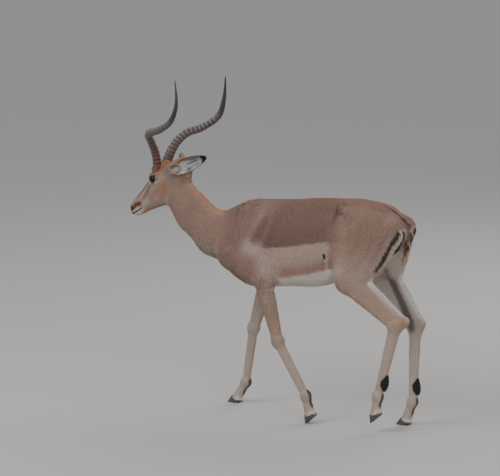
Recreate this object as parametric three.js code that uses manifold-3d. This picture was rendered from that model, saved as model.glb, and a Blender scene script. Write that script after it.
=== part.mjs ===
// Life-size impala ram, walking: fore right and hind right feet flat, fore left foot on its
// toes, hind left foot lifted. Millimetres, +Z up. The ram faces -X, so its left side is -Y.
//
// The body is one field: elliptical tubes along the trunk and the head, and tapered rods of
// muscle and bone, run together with fillets. Each flesh piece is a loft whose rings are cast
// out from a straight axis to the field's surface, then trimmed by planes against its neighbours.
import * as THREE from "three";
import { mergeVertices } from "three/addons/utils/BufferGeometryUtils.js";
import Module from "manifold-3d";

const wasm = await Module();
wasm.setup();

// ---------------------------------------------------------------- driving sizes
const GAP = 0.4; // clearance between touching pieces
const FILLET = 30; // how softly muscles run together
const LEFT = -1;
const RIGHT = 1;

// Trunk stations from the breast to the tail root: x along the spine, top and bottom lines,
// half width, and how much wider the section is low down than high up.
const TRUNK = [
  { x: -165, top: 790, bottom: 676, half: 30, sag: 0 },
  { x: -115, top: 822, bottom: 612, half: 60, sag: 0 },
  { x: -60, top: 856, bottom: 555, half: 84, sag: 0 },
  { x: 15, top: 887, bottom: 524, half: 100, sag: 0.05 },
  { x: 110, top: 895, bottom: 532, half: 112, sag: 0.12 },
  { x: 215, top: 902, bottom: 543, half: 124, sag: 0.16 },
  { x: 320, top: 914, bottom: 551, half: 126, sag: 0.18 },
  { x: 420, top: 919, bottom: 580, half: 112, sag: 0.12 },
  { x: 520, top: 922, bottom: 618, half: 98, sag: 0 },
  { x: 600, top: 905, bottom: 655, half: 86, sag: 0 },
  { x: 665, top: 873, bottom: 710, half: 66, sag: 0 },
  { x: 708, top: 832, bottom: 770, half: 24, sag: 0 },
];

// The head's own frame: u from the crown to the nose, v towards the forehead, y across.
const CROWN = new THREE.Vector3(-366, 0, 1020);
const HEAD_PITCH = THREE.MathUtils.degToRad(47.8); // of the nose line below the horizon
const HEAD = [
  { x: -46, top: -42, bottom: -72, half: 14, sag: 0 },
  { x: -30, top: -20, bottom: -92, half: 34, sag: 0 },
  { x: 0, top: -2, bottom: -108, half: 44, sag: 0 },
  { x: 40, top: 12, bottom: -120, half: 48, sag: -0.1 },
  { x: 80, top: 20, bottom: -124, half: 49, sag: -0.15 },
  { x: 120, top: 24, bottom: -119, half: 46, sag: -0.2 },
  { x: 160, top: 23, bottom: -106, half: 38, sag: -0.15 },
  { x: 200, top: 21, bottom: -86, half: 31, sag: -0.05 },
  { x: 240, top: 21, bottom: -66, half: 26.5, sag: 0 },
  { x: 270, top: 21, bottom: -54, half: 25, sag: 0.05 },
  { x: 290, top: 18, bottom: -46, half: 22, sag: 0.05 },
  { x: 303, top: 6, bottom: -32, half: 13, sag: 0 },
];

// Leg joints by foot. The y of the body side is the same all the way down.
const FORE_Y = 86;
const HIND_Y = 85;
const FORE = {
  left: { side: LEFT, shoulder: [-52, 655], elbow: [107, 576], knee: [176, 324],
    fetlock: [305, 112], toe: [309, -4], tilt: 43 },
  right: { side: RIGHT, shoulder: [-76, 652], elbow: [46, 564], knee: [-30, 328],
    fetlock: [-66, 92], toe: [-150, 0], tilt: 0 },
};
const HIND = {
  left: { side: LEFT, hip: [575, 795], stifle: [492, 604], crease: [590, 604], hock: [700, 436],
    point: [742, 462], fetlock: [628, 146], toe: [600, 34], tilt: 42 },
  right: { side: RIGHT, hip: [575, 795], stifle: [505, 580], crease: [648, 608],
    hock: [710, 394], point: [736, 424], fetlock: [702, 98], toe: [634, 0], tilt: 0 },
};

// A claw's profile from heel to toe: the sole is flat, the hair line slopes to the heel.
const SOLE = 58;
const HAIR_LINE = { toe: 38, rise: 28, heel: -3, heelRise: 8 };

const EYE = { u: 102, v: -4, y: 45.5, radius: 16.5 };
const GLAND = { top: 86, bottom: 48, behind: 15, radius: 15 };

// ---------------------------------------------------------------- small helpers
const vec = (x, y, z) => new THREE.Vector3(x, y, z);
const mix = (a, b, t) => a + (b - a) * t;
const headDown = vec(-Math.cos(HEAD_PITCH), 0, -Math.sin(HEAD_PITCH));
const headUp = vec(-Math.sin(HEAD_PITCH), 0, Math.cos(HEAD_PITCH));
const inHead = (u, v, y) =>
  CROWN.clone().addScaledVector(headDown, u).addScaledVector(headUp, v).setY(y);

// A value of a station table at x, by a cubic through its neighbours.
function station(table, key, x) {
  const last = table.length - 1;
  let i = 0;
  while (i < last - 1 && table[i + 1].x < x) i++;
  const at = (n) => table[Math.min(Math.max(n, 0), last)];
  const slope = (n) =>
    (at(n + 1)[key] - at(n - 1)[key]) / Math.max(at(n + 1).x - at(n - 1).x, 1);
  const span = table[i + 1].x - table[i].x;
  const t = THREE.MathUtils.clamp((x - table[i].x) / span, 0, 1);
  const rise = (1 + 2 * t) * (1 - t) ** 2;
  return (
    rise * table[i][key] + (1 - rise) * table[i + 1][key] +
    span * t * (1 - t) * ((1 - t) * slope(i) - t * slope(i + 1))
  );
}

// ---------------------------------------------------------------- the body as a field
// Every field gives a rough distance in mm to a surface, negative inside.
const blend = (a, b, k) => {
  const h = Math.max(k - Math.abs(a - b), 0) / k;
  return Math.min(a, b) - (h * h * k) / 4;
};
const union = (fields, k = FILLET) => (p) =>
  fields.reduce((near, field) => blend(near, field(p), k), 1e3);

// A tapered rod from a to b with round ends; flat is its width over its depth.
function rod(a, b, ra, rb, flat = 1) {
  const axis = b.clone().sub(a);
  const length2 = Math.max(axis.lengthSq(), 1);
  const off = vec(0, 0, 0);
  return (p) => {
    off.copy(p).sub(a);
    const t = THREE.MathUtils.clamp(off.dot(axis) / length2, 0, 1);
    off.addScaledVector(axis, -t);
    off.y /= flat;
    return (off.length() - mix(ra, rb, t)) * Math.min(flat, 1);
  };
}
const ball = (c, r, flat = 1) => rod(c, c.clone().add(vec(0, 0, 1)), r, r, flat);

// An elliptical tube over a station table: along is the table's own axis, up its height.
function tube(table, along, up) {
  const first = table[0].x;
  const last = table[table.length - 1].x;
  return (p) => {
    const x = THREE.MathUtils.clamp(along(p), first, last);
    const past = Math.abs(along(p) - x);
    const top = station(table, "top", x);
    const bottom = station(table, "bottom", x);
    const high = (top - bottom) / 2;
    const rise = (up(p) - (top + bottom) / 2) / high;
    const half = station(table, "half", x) * (1 - station(table, "sag", x) * rise);
    const ring = Math.hypot(p.y / half, rise) - 1;
    return ring * Math.min(half, high) + past;
  };
}

const trunkTube = tube(TRUNK, (p) => p.x, (p) => p.z);
const headTube = tube(
  HEAD,
  (p) => (p.x - CROWN.x) * headDown.x + (p.z - CROWN.z) * headDown.z,
  (p) => (p.x - CROWN.x) * headUp.x + (p.z - CROWN.z) * headUp.z,
);

// Neck: three rods from the shoulders to behind the jaw.
const NECK_BASE = vec(-40, 0, 700);
const NECK_LOW = vec(-168, 0, 728);
const NECK_MID = vec(-262, 0, 800);
const NECK_TOP = vec(-340, 0, 890);
const neckRods = [
  rod(NECK_BASE, NECK_LOW, 112, 89, 0.68),
  rod(NECK_LOW, NECK_MID, 89, 77, 0.64),
  rod(NECK_MID, NECK_TOP, 77, 76, 0.64),
];

const headBulges = [LEFT, RIGHT].flatMap((side) => [
  ball(inHead(EYE.u, EYE.v + 4, side * 40), 21),
  rod(inHead(92, -52, side * 30), inHead(158, -78, side * 22), 24, 15, 0.8),
  rod(inHead(80, 12, side * 34), inHead(48, 20, side * 28), 14, 18),
]);

// One fore leg: blade and upper arm lie on the chest, the rest stands free.
function foreBones({ side, shoulder, elbow, knee, fetlock, coronet }) {
  const at = ([x, z], y = FORE_Y) => vec(x, side * y, z);
  return {
    body: [
      rod(vec(22, side * 62, 834), at(shoulder, 70), 42, 56, 0.64),
      rod(at(shoulder, 74), at(elbow, 84), 48, 41, 0.72),
    ],
    forearm: [
      rod(at(elbow), at(knee), 41, 20, 0.8),
      ball(at(knee), 23.5, 0.92),
    ],
    cannon: [
      rod(at(knee), at(fetlock), 20, 16, 0.88),
      ball(at(fetlock), 19, 0.95),
    ],
    pastern: [rod(at(fetlock), at(coronet), 16.5, 21, 1.02)],
  };
}

// The scent gland's tuft on the back of a hind cannon, just above the fetlock.
function glandTuft(hock, fetlock) {
  const down = fetlock.clone().sub(hock).normalize();
  const behind = down.clone().cross(vec(0, 1, 0));
  const centre = (up) =>
    fetlock.clone().addScaledVector(down, -up).addScaledVector(behind, GLAND.behind);
  return rod(centre(GLAND.top), centre(GLAND.bottom), GLAND.radius, GLAND.radius * 1.15);
}

// One hind leg: thigh and buttock lie on the rump, the rest stands free.
function hindBones({ side, hip, stifle, crease, hock, point, fetlock, coronet }) {
  const at = ([x, z], y = HIND_Y) => vec(x, side * y, z);
  const strand = at([crease[0] - 26, crease[1] - 12], 80); // where the heel tendon starts
  const web = at(stifle).lerp(at(hock), 0.3).lerp(strand, 0.55);
  return {
    body: [
      rod(at(hip, 58), at(stifle, 84), 104, 56, 0.58),
      rod(vec(664, side * 52, 806), at([crease[0] - 34, crease[1] + 22], 76), 56, 44, 0.8),
      rod(vec(458, side * 70, 886), vec(500, side * 58, 862), 20, 40, 1),
    ],
    gaskin: [
      rod(at(stifle), at(hock), 54, 23, 0.62),
      rod(strand, at(point), 30, 13, 0.7),
      rod(web, at(hock).lerp(at(point), 0.5), 36, 16, 0.5),
    ],
    cannon: [
      rod(at(hock), at(fetlock), 25, 17, 0.84),
      rod(at(hock), at(point), 24, 14, 0.8),
      ball(at(fetlock), 20, 0.95),
      glandTuft(at(hock), at(fetlock)),
    ],
    pastern: [rod(at(fetlock), at(coronet), 16.5, 21, 1.02)],
  };
}

// A foot's own axes and the middle of its hair line, from where its toe is and how it tilts.
function footing({ toe, tilt }) {
  const angle = THREE.MathUtils.degToRad(tilt);
  const forward = vec(-Math.cos(angle), 0, -Math.sin(angle));
  const up = vec(-Math.sin(angle), 0, Math.cos(angle));
  const back = SOLE - (HAIR_LINE.toe + HAIR_LINE.heel) / 2;
  const rise = (HAIR_LINE.rise + HAIR_LINE.heelRise) / 2;
  const hair = vec(toe[0], 0, toe[1]).addScaledVector(forward, -back).addScaledVector(up, rise);
  return { forward, up, coronet: [hair.x, hair.z] };
}

const withBones = (bones) => (row) => {
  const leg = { ...row, ...footing(row) };
  return { ...leg, bones: bones(leg) };
};
const foreLegs = Object.values(FORE).map(withBones(foreBones));
const hindLegs = Object.values(HIND).map(withBones(hindBones));

// A leg runs its own bones together tightly, and joins the trunk with the wider fillet.
const LEG_FILLET = 14;
const legField = ({ bones }) => union(Object.values(bones).flat(), LEG_FILLET);
const foreFields = foreLegs.map(legField);
const hindFields = hindLegs.map(legField);
const chestField = union([trunkTube, ...neckRods, ...foreFields]);
const barrelField = union([trunkTube, ...foreFields, ...hindFields]);
const rumpField = union([trunkTube, ...hindFields]);
const neckField = union([...neckRods, trunkTube, headTube, ...foreFields]);
const headField = union([headTube, ...headBulges, neckRods[2]], 16);

// ---------------------------------------------------------------- lofts and cuts
const middle = (ring) =>
  ring.reduce((sum, p) => sum.add(p), vec(0, 0, 0)).divideScalar(ring.length);

// A closed geometry from rings of equal length, with a fan from a point over each end.
function skin(rings, tips = [middle(rings[0]), middle(rings.at(-1))]) {
  const sides = rings[0].length;
  const points = [...rings.flat(), ...tips];
  const index = [];
  const start = points.length - 2;
  const end = points.length - 1;
  const lastRow = (rings.length - 1) * sides;
  for (let j = 0; j < sides; j++) {
    const k = (j + 1) % sides;
    for (let i = 0; i < rings.length - 1; i++) {
      const a = i * sides;
      index.push(a + j, a + k, a + sides + k, a + j, a + sides + k, a + sides + j);
    }
    index.push(start, k, j, end, lastRow + j, lastRow + k);
  }
  return new THREE.BufferGeometry().setFromPoints(points).setIndex(index);
}

// A geometry as a manifold solid, turned the right way out.
function solid(geometry) {
  const merged = mergeVertices(
    new THREE.BufferGeometry()
      .setAttribute("position", geometry.getAttribute("position"))
      .setIndex(geometry.getIndex()),
    1e-3,
  );
  const vertProperties = merged.attributes.position.array;
  const triVerts = new Uint32Array(merged.index.array);
  let made = new wasm.Manifold(new wasm.Mesh({ numProp: 3, vertProperties, triVerts }));
  if (made.volume() < 0) {
    made = new wasm.Manifold(
      new wasm.Mesh({ numProp: 3, vertProperties, triVerts: triVerts.reverse() }),
    );
  }
  return made;
}

// How far the surface lies from a point inside it, in one direction, up to a limit.
function reach(field, from, direction, limit) {
  const probe = vec(0, 0, 0);
  const value = (r) => field(probe.copy(from).addScaledVector(direction, r));
  let inside = 0;
  let outside = 0;
  let depth = value(0);
  while (depth < 0 && inside < limit) {
    outside = Math.min(inside + Math.max(2, -0.6 * depth), limit);
    depth = value(outside);
    if (depth < 0) inside = outside;
  }
  for (let n = 0; n < 8; n++) {
    const half = (inside + outside) / 2;
    if (value(half) < 0) inside = half;
    else outside = half;
  }
  return Math.max(inside, 0.5);
}

// Rings cast out from the straight axis a-b to the field's surface.
function cast(field, a, b, { sides, rings, limit = 260, grow = 0, stops }) {
  const axis = b.clone().sub(a).normalize();
  const across = vec(0, 1, 0);
  const up = axis.clone().cross(across).normalize();
  const made = [];
  for (let i = 0; i <= rings; i++) {
    const t = stops ? stops(i / rings) : i / rings;
    const centre = a.clone().lerp(b, t);
    made.push(Array.from({ length: sides }, (_, j) => {
      const angle = (2 * Math.PI * (j + 0.5)) / sides;
      const out = across.clone().multiplyScalar(Math.cos(angle))
        .addScaledVector(up, Math.sin(angle));
      const cap = typeof limit === "function" ? limit(t) : limit;
      return centre.clone().addScaledVector(out, reach(field, centre, out, cap) + grow);
    }));
  }
  return solid(skin(made));
}

// The part of a solid on the side of a plane that its normal points to, less half the gap.
function keep(body, point, normal) {
  const n = normal.clone().normalize();
  return body.trimByPlane([n.x, n.y, n.z], n.dot(point) + GAP / 2);
}
const flip = (n) => n.clone().negate();

// The plane through a joint that halves the angle between the pieces that meet there.
const bisector = (before, joint, after) =>
  joint.clone().sub(before).normalize().add(after.clone().sub(joint).normalize()).normalize();

// ---------------------------------------------------------------- the pieces
const HIDE = { roughness: 0.85, metalness: 0 };
const paint = (hex, more = HIDE) => new THREE.MeshStandardMaterial({ color: hex, ...more });
const coat = paint("#a8755a");
const paleCoat = paint("#b39a84");
const hornBrown = paint("#3d3530", { roughness: 0.55, metalness: 0 });
const hoofBlack = paint("#2b2a2c", { roughness: 0.45, metalness: 0 });
const eyeDark = paint("#0c0907", { roughness: 0.08, metalness: 0 });

const impala = new THREE.Group();
const trunk = new THREE.Group();
const headGroup = new THREE.Group();
const legs = new THREE.Group();
impala.add(trunk, headGroup, legs);

// Adds a solid to a group as a named mesh whose own origin is the middle of its box.
function place(group, name, made, material) {
  const { numProp, vertProperties, triVerts } = made.getMesh();
  const points = [];
  for (let i = 0; i < vertProperties.length; i += numProp) {
    points.push(vec(...vertProperties.slice(i, i + 3)));
  }
  const geometry = new THREE.BufferGeometry().setFromPoints(points).setIndex([...triVerts]);
  geometry.computeBoundingBox();
  const centre = geometry.boundingBox.getCenter(vec(0, 0, 0));
  geometry.translate(-centre.x, -centre.y, -centre.z);
  geometry.computeVertexNormals();
  const mesh = new THREE.Mesh(geometry, material);
  mesh.name = name;
  mesh.position.copy(centre);
  group.add(mesh);
}
const sideName = (side) => (side === LEFT ? "left" : "right");

// Trunk in three lengths, cut square to the spine. The fore legs leave it at a level plane,
// the hind legs at one that climbs to the crease behind the gaskin.
const CHEST_END = 188;
const RUMP_START = 408;
const FORE_CUT = { point: vec(0, 0, 522), normal: vec(0, 0, 1) };
const HIND_CUT = { point: vec(530, 0, 560), normal: vec(-0.3, 0, 1) };
const OVERRUN = 12; // how far a cast runs past the plane that trims it
const BACK = vec(1, 0, 0);
const NECK_CUT = { point: vec(-120, 0, 751), normal: vec(0.862, 0, -0.507) };
const POLL = inHead(-17, -20, 0);
const THROAT = inHead(167, -112, 0);
const HEAD_CUT = { point: POLL, normal: vec(0, 1, 0).cross(THROAT.clone().sub(POLL)) };

function trunkCast(field, from, to, rings, grow = 0) {
  const middle = (x) => (station(TRUNK, "top", x) + station(TRUNK, "bottom", x)) / 2;
  return cast(field, vec(from, 0, middle(from)), vec(to, 0, middle(to)),
    { sides: 22, rings, limit: () => 320, grow });
}
const trim = (made, cuts) => cuts.reduce((body, [p, n]) => keep(body, p, n), made);
place(trunk, "chest", trim(trunkCast(chestField, -185, CHEST_END + OVERRUN, 15), [
  [vec(CHEST_END, 0, 0), flip(BACK)], [FORE_CUT.point, FORE_CUT.normal],
  [NECK_CUT.point, NECK_CUT.normal],
]), coat);
place(trunk, "barrel", trim(trunkCast(barrelField, CHEST_END - OVERRUN, RUMP_START + OVERRUN, 7), [
  [vec(CHEST_END, 0, 0), BACK], [vec(RUMP_START, 0, 0), flip(BACK)],
]), coat);
const haunchCast = (side, grow) =>
  cast(rumpField, vec(RUMP_START - OVERRUN, side * 42, 775), vec(724, side * 48, 785),
    { sides: 22, rings: 14, limit: () => 260, grow });
for (const side of [LEFT, RIGHT]) {
  place(trunk, "haunch_" + sideName(side), trim(haunchCast(side, 0), [
    [vec(RUMP_START, 0, 0), BACK], [HIND_CUT.point, HIND_CUT.normal],
    [vec(0, 0, 0), vec(0, side, 0)],
  ]), coat);
}

// Neck and head, parted by a plane from the poll to the throat.
const neckCast = (grow) => cast(neckField, vec(-70, 0, 700), vec(-405, 0, 945),
  { sides: 22, rings: 15, limit: (t) => mix(230, 150, t), grow });
place(trunk, "neck", trim(neckCast(0), [
  [NECK_CUT.point, flip(NECK_CUT.normal)], [POLL, flip(HEAD_CUT.normal)],
]), coat);

const eyes = [LEFT, RIGHT].map((side) => ({
  side,
  centre: inHead(EYE.u, EYE.v, side * EYE.y),
}));
const eyeball = (centre, radius) =>
  solid(new THREE.IcosahedronGeometry(radius, 2).translate(...centre));
const headWhole = (grow) => cast(headField, inHead(-52, -54, 0), inHead(299, -17, 0),
  { sides: 20, rings: 21, limit: () => 128, grow });
let head = keep(headWhole(0), POLL, HEAD_CUT.normal);
const headAndNeck = headWhole(GAP).add(neckCast(GAP));
for (const { side, centre } of eyes) {
  head = head.subtract(eyeball(centre, EYE.radius + GAP));
  place(headGroup, "eye_" + sideName(side), eyeball(centre, EYE.radius), eyeDark);
}
place(headGroup, "head", head, coat);

// Tail: a flat tapering brush that hangs from the croup.
const TAIL = [
  { x: 688, z: 852, wide: 20, deep: 14 },
  { x: 705, z: 836, wide: 22, deep: 15 },
  { x: 715, z: 800, wide: 21, deep: 14 },
  { x: 711, z: 752, wide: 22, deep: 14 },
  { x: 700, z: 703, wide: 21, deep: 13 },
  { x: 689, z: 666, wide: 15, deep: 10 },
  { x: 683, z: 644, wide: 5, deep: 5 },
];
const TAIL_SIDES = 10;
const tailMade = solid(skin(TAIL.map(({ x, z, wide, deep }) =>
  Array.from({ length: TAIL_SIDES }, (_, j) => {
    const angle = (2 * Math.PI * j) / TAIL_SIDES;
    return vec(x + deep * Math.cos(angle), wide * Math.sin(angle), z);
  }))));
place(trunk, "tail", tailMade.subtract(haunchCast(LEFT, GAP)).subtract(haunchCast(RIGHT, GAP)), coat);

// Ears: a cupped leaf each, from a narrow root to a blunt point.
const EAR_ROOT = { x: -334, y: 45, z: 984 };
const EAR_HALF_WIDTH = 28;
const EARS = [
  { side: LEFT, along: vec(163, -24, 66), open: vec(0.1, -1, -0.1) },
  { side: RIGHT, along: vec(-90, 127, 36), open: vec(-0.75, -0.35, -0.6) },
];
const EAR = { rings: 8, arc: 5, wall: 3.5, tip: 1.5, rootCurl: 1.5, tipCurl: 0.7, sink: 16 };
function ear({ side, along, open }) {
  const length = along.clone().normalize();
  const face = open.clone().addScaledVector(length, -open.dot(length)).normalize();
  const across = length.clone().cross(face);
  const root = vec(EAR_ROOT.x, side * EAR_ROOT.y, EAR_ROOT.z);
  const rings = [];
  for (let i = 0; i <= EAR.rings; i++) {
    const t = i / EAR.rings;
    const wide = EAR_HALF_WIDTH * Math.sin(Math.PI * mix(0.2, 0.985, t)) ** 0.6;
    const curl = mix(EAR.rootCurl, EAR.tipCurl, t);
    const radius = wide / Math.sin(curl);
    const middle = root.clone().addScaledVector(length, mix(-EAR.sink, along.length(), t))
      .addScaledVector(face, radius * 0.6);
    const arc = (out, from, to) => Array.from({ length: EAR.arc + 1 }, (_, j) => {
      const angle = mix(from, to, j / EAR.arc) * curl;
      return middle.clone().addScaledVector(across, (radius + out) * Math.sin(angle))
        .addScaledVector(face, -(radius + out) * Math.cos(angle));
    });
    rings.push([...arc(mix(EAR.wall, EAR.tip, t), -1, 1), ...arc(0, 1, -1)]);
  }
  const ends = [rings[0], rings.at(-1)].map((ring, n) =>
    middle(ring).addScaledVector(length, n ? 3 : -8));
  return solid(skin(rings, ends));
}
const largest = (made) => made.decompose().sort((a, b) => b.volume() - a.volume())[0];
for (const shape of EARS) {
  const made = largest(ear(shape).subtract(headAndNeck));
  place(headGroup, "ear_" + sideName(shape.side), made, coat);
}

// Horns: a lyre, ringed for two thirds of its length and smooth to the tip.
const HORN = { depth: 19.5, width: 16.5, ringed: 0.66, steps: 30, sides: 8 };
const HORN_PATHS = {
  left: [[-432, 32, 978], [-420, 38, 1000], [-416, 60, 1056], [-413, 95, 1103],
    [-404, 130, 1138], [-314, 185, 1170], [-253, 205, 1208], [-222, 213, 1275], [-231, 205, 1375]],
  right: [[-434, 32, 978], [-422, 38, 1000], [-412, 62, 1047], [-404, 98, 1085],
    [-380, 138, 1118], [-332, 185, 1140], [-266, 210, 1192], [-241, 212, 1270], [-231, 205, 1358]],
};
function horn(path, side) {
  const { depth, width, ringed, steps, sides } = HORN;
  const curve = new THREE.CatmullRomCurve3(path.map(([x, y, z]) => vec(x, side * y, z)),
    false, "centripetal");
  const inward = vec(-0.8, -0.6 * side, 0);
  const rings = [];
  for (let i = 0; i <= steps; i++) {
    const t = i / steps;
    const tangent = curve.getTangentAt(t);
    const front = inward.clone().addScaledVector(tangent, -inward.dot(tangent)).normalize();
    const flank = tangent.clone().cross(front);
    const ridge = t < ringed && i % 2 === 1 ? 1.08 : 1;
    const taper = ridge *
      (t < ringed ? mix(1, 0.7, t / ringed) : mix(0.7, 0.1, (t - ringed) / (1 - ringed)));
    const centre = curve.getPointAt(t);
    rings.push(Array.from({ length: sides }, (_, j) => {
      const angle = (2 * Math.PI * j) / sides;
      return centre.clone().addScaledVector(front, depth * taper * Math.cos(angle))
        .addScaledVector(flank, width * taper * Math.sin(angle));
    }));
  }
  return solid(skin(rings));
}
for (const side of [LEFT, RIGHT]) {
  const made = horn(HORN_PATHS[sideName(side)], side).subtract(headAndNeck);
  place(headGroup, "horn_" + sideName(side), made, hornBrown);
}

// Legs: upper piece, cannon and pastern meet on planes that halve each joint's angle.
// Each foot ends in two claws, whose walls run from the sloping hair line to a flat sole.
const CLAW_RINGS = [ // share of the way down, and half width
  { down: -0.1, half: 9 },
  { down: 0.3, half: 10.3 },
  { down: 1, half: 10.3 },
];
const CLAW_SPREAD = 11; // from the middle of the foot to the middle of a claw
function claw(toe, forward, up) {
  const rings = CLAW_RINGS.map(({ down, half }) =>
    Array.from({ length: 12 }, (_, j) => {
      const angle = (2 * Math.PI * j) / 12;
      const share = (1 - Math.cos(angle)) / 2;
      const hair = mix(HAIR_LINE.heel, HAIR_LINE.toe, share);
      const along = mix(hair, mix(0, SOLE, share), down) - SOLE;
      const rise = mix(mix(HAIR_LINE.heelRise, HAIR_LINE.rise, share), 0, down);
      const point = 1 - 0.45 * Math.max(0, -Math.cos(angle));
      return toe.clone().addScaledVector(forward, along).addScaledVector(up, rise)
        .add(vec(0, half * point * Math.sin(angle), 0));
    }));
  return solid(skin(rings));
}

function leg(name, part, joints, y, topCut) {
  const at = ([x, z]) => vec(x, part.side * y, z);
  const { forward, up } = part;
  const [top, middleJoint, low, hoof] = [...joints, part.fetlock, part.coronet].map(at);
  const field = legField(part);
  const hairNormal = up.clone().multiplyScalar(HAIR_LINE.toe - HAIR_LINE.heel)
    .addScaledVector(forward, HAIR_LINE.heelRise - HAIR_LINE.rise).normalize();
  const past = (from, to, by) => to.clone().add(to.clone().sub(from).setLength(by));
  const bend = bisector(top, middleJoint, low);
  const ankle = bisector(middleJoint, low, hoof);
  const upper = cast(field, past(middleJoint, top, 60), past(top, middleJoint, 22),
    { sides: 12, rings: 9, limit: (t) => mix(160, 50, THREE.MathUtils.smoothstep(t, 0.5, 0.9)) });
  const cannon = cast(field, past(low, middleJoint, 22), past(middleJoint, low, 18),
    { sides: 10, rings: 8, limit: () => 48 });
  const pastern = cast(field, past(hoof, low, 18), past(low, hoof, 16),
    { sides: 10, rings: 5, limit: () => 34 });
  place(legs, name + "_upper",
    trim(upper, [[topCut.point, flip(topCut.normal)], [middleJoint, flip(bend)]]), coat);
  place(legs, name + "_cannon", trim(cannon, [[middleJoint, bend], [low, flip(ankle)]]), paleCoat);
  place(legs, name + "_pastern", trim(pastern, [[low, ankle], [hoof, hairNormal]]), paleCoat);
  for (const [which, spread] of [["outer", CLAW_SPREAD], ["inner", -CLAW_SPREAD]]) {
    const toe = at(part.toe).add(vec(0, part.side * spread, 0));
    const shell = trim(claw(toe, forward, up), [[hoof, flip(hairNormal)]]);
    place(legs, name + "_claw_" + which, shell.trimByPlane([0, 0, 1], 0), hoofBlack);
  }
}
for (const part of foreLegs) {
  leg("fore_" + sideName(part.side), part, [part.elbow, part.knee], FORE_Y, FORE_CUT);
}
for (const part of hindLegs) {
  leg("hind_" + sideName(part.side), part, [part.stifle, part.hock], HIND_Y, HIND_CUT);
}

// The origin lies on the ground, in the middle of the whole animal's box.
const whole = new THREE.Box3().setFromObject(impala);
const centre = whole.getCenter(vec(0, 0, 0));
impala.position.set(-centre.x, -centre.y, -whole.min.z);

export default impala;
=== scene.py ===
"""Looks of a life-size impala ram, walking.

One skin covers the whole body and its ears, and lies inside the solids by the depth of the coat.
Short tufts lie over it; eyes, horns and claws are pieces of their own. Shapes are worked out in
millimetres in the maker's frame (the ram faces -X, its left side is -Y, the ground is z = 0) and
go to metres in the part's frame when a mesh is made.
"""
import math

import bpy
import numpy as np
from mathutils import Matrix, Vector


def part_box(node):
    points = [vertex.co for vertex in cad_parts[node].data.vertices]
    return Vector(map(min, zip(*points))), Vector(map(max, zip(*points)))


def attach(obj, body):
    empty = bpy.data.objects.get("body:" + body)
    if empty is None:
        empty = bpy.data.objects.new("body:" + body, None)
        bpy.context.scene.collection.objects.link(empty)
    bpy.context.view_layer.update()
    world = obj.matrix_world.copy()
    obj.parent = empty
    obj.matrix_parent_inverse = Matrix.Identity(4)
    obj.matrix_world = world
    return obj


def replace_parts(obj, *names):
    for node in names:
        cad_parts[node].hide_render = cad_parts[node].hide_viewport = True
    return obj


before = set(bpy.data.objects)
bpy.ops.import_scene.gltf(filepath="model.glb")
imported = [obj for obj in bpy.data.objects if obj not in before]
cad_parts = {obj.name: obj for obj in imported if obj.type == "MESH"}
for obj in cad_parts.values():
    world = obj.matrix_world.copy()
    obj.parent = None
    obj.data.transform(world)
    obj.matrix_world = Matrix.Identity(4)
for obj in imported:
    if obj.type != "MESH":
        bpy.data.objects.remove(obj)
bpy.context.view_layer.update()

# ------------------------------------------------------------ driving sizes
LEFT, RIGHT = -1.0, 1.0
FILLET = 30.0  # between muscles of the trunk
LEG_FILLET = 14.0
HEAD_FILLET = 16.0
TAIL_FILLET = 8.0

# Stations: distance along, top line, bottom line, half width, share wider low down.
# Each body table has the same sizes as the solids, in the same frame.
TRUNK = np.array([
    [-165, 790, 676, 30, 0], [-115, 822, 612, 60, 0], [-60, 856, 555, 84, 0],
    [15, 887, 524, 100, 0.05], [110, 895, 532, 112, 0.12], [215, 902, 543, 124, 0.16],
    [320, 914, 551, 126, 0.18], [420, 919, 580, 112, 0.12], [520, 922, 618, 98, 0],
    [600, 905, 655, 86, 0], [665, 873, 710, 66, 0], [708, 832, 770, 24, 0],
])
HEAD = np.array([
    [-46, -42, -72, 14, 0], [-30, -20, -92, 34, 0], [0, -2, -108, 44, 0],
    [40, 12, -120, 48, -0.1], [80, 20, -124, 49, -0.15], [120, 24, -119, 46, -0.2],
    [160, 23, -106, 38, -0.15], [200, 21, -86, 31, -0.05], [240, 21, -66, 26.5, 0],
    [270, 21, -54, 25, 0.05], [290, 18, -46, 22, 0.05], [303, 6, -32, 13, 0],
])
CROWN = np.array([-366.0, 0.0, 1020.0])
HEAD_PITCH = math.radians(47.8)
HEAD_DOWN = np.array([-math.cos(HEAD_PITCH), 0.0, -math.sin(HEAD_PITCH)])
HEAD_UP = np.array([-math.sin(HEAD_PITCH), 0.0, math.cos(HEAD_PITCH)])
ACROSS = np.array([0.0, 1.0, 0.0])

FORE_Y, HIND_Y, FOOT_Y = 86.0, 85.0, 85.0  # each leg's and foot's way out from the middle
FORE = [
    dict(name="fore_left", side=LEFT, shoulder=(-52, 655), elbow=(107, 576), knee=(176, 324),
         fetlock=(305, 112), toe=(309, -4), tilt=43),
    dict(name="fore_right", side=RIGHT, shoulder=(-76, 652), elbow=(46, 564), knee=(-30, 328),
         fetlock=(-66, 92), toe=(-150, 0), tilt=0),
]
HIND = [
    dict(name="hind_left", side=LEFT, hip=(575, 795), stifle=(492, 604), crease=(590, 604),
         hock=(700, 436), point=(742, 462), fetlock=(628, 146), toe=(600, 34), tilt=42),
    dict(name="hind_right", side=RIGHT, hip=(575, 795), stifle=(505, 580), crease=(648, 608),
         hock=(710, 394), point=(736, 424), fetlock=(702, 98), toe=(634, 0), tilt=0),
]
BUTTOCK_TOP = (664.0, 52.0, 806.0)  # x, |y| and z of the thick of each buttock's upper end
BUTTOCK_END = (-34.0, 76.0, 22.0)  # the lower end: x and z from the crease, and |y|
BUTTOCK_FALL = 180.0  # over which height the stripes' line runs from the one to the other
SOLE = 58.0  # from the toe's tip to the heel
HAIR_LINE = dict(toe=38.0, rise=28.0, heel=-3.0, heel_rise=8.0)  # above the claws
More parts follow.
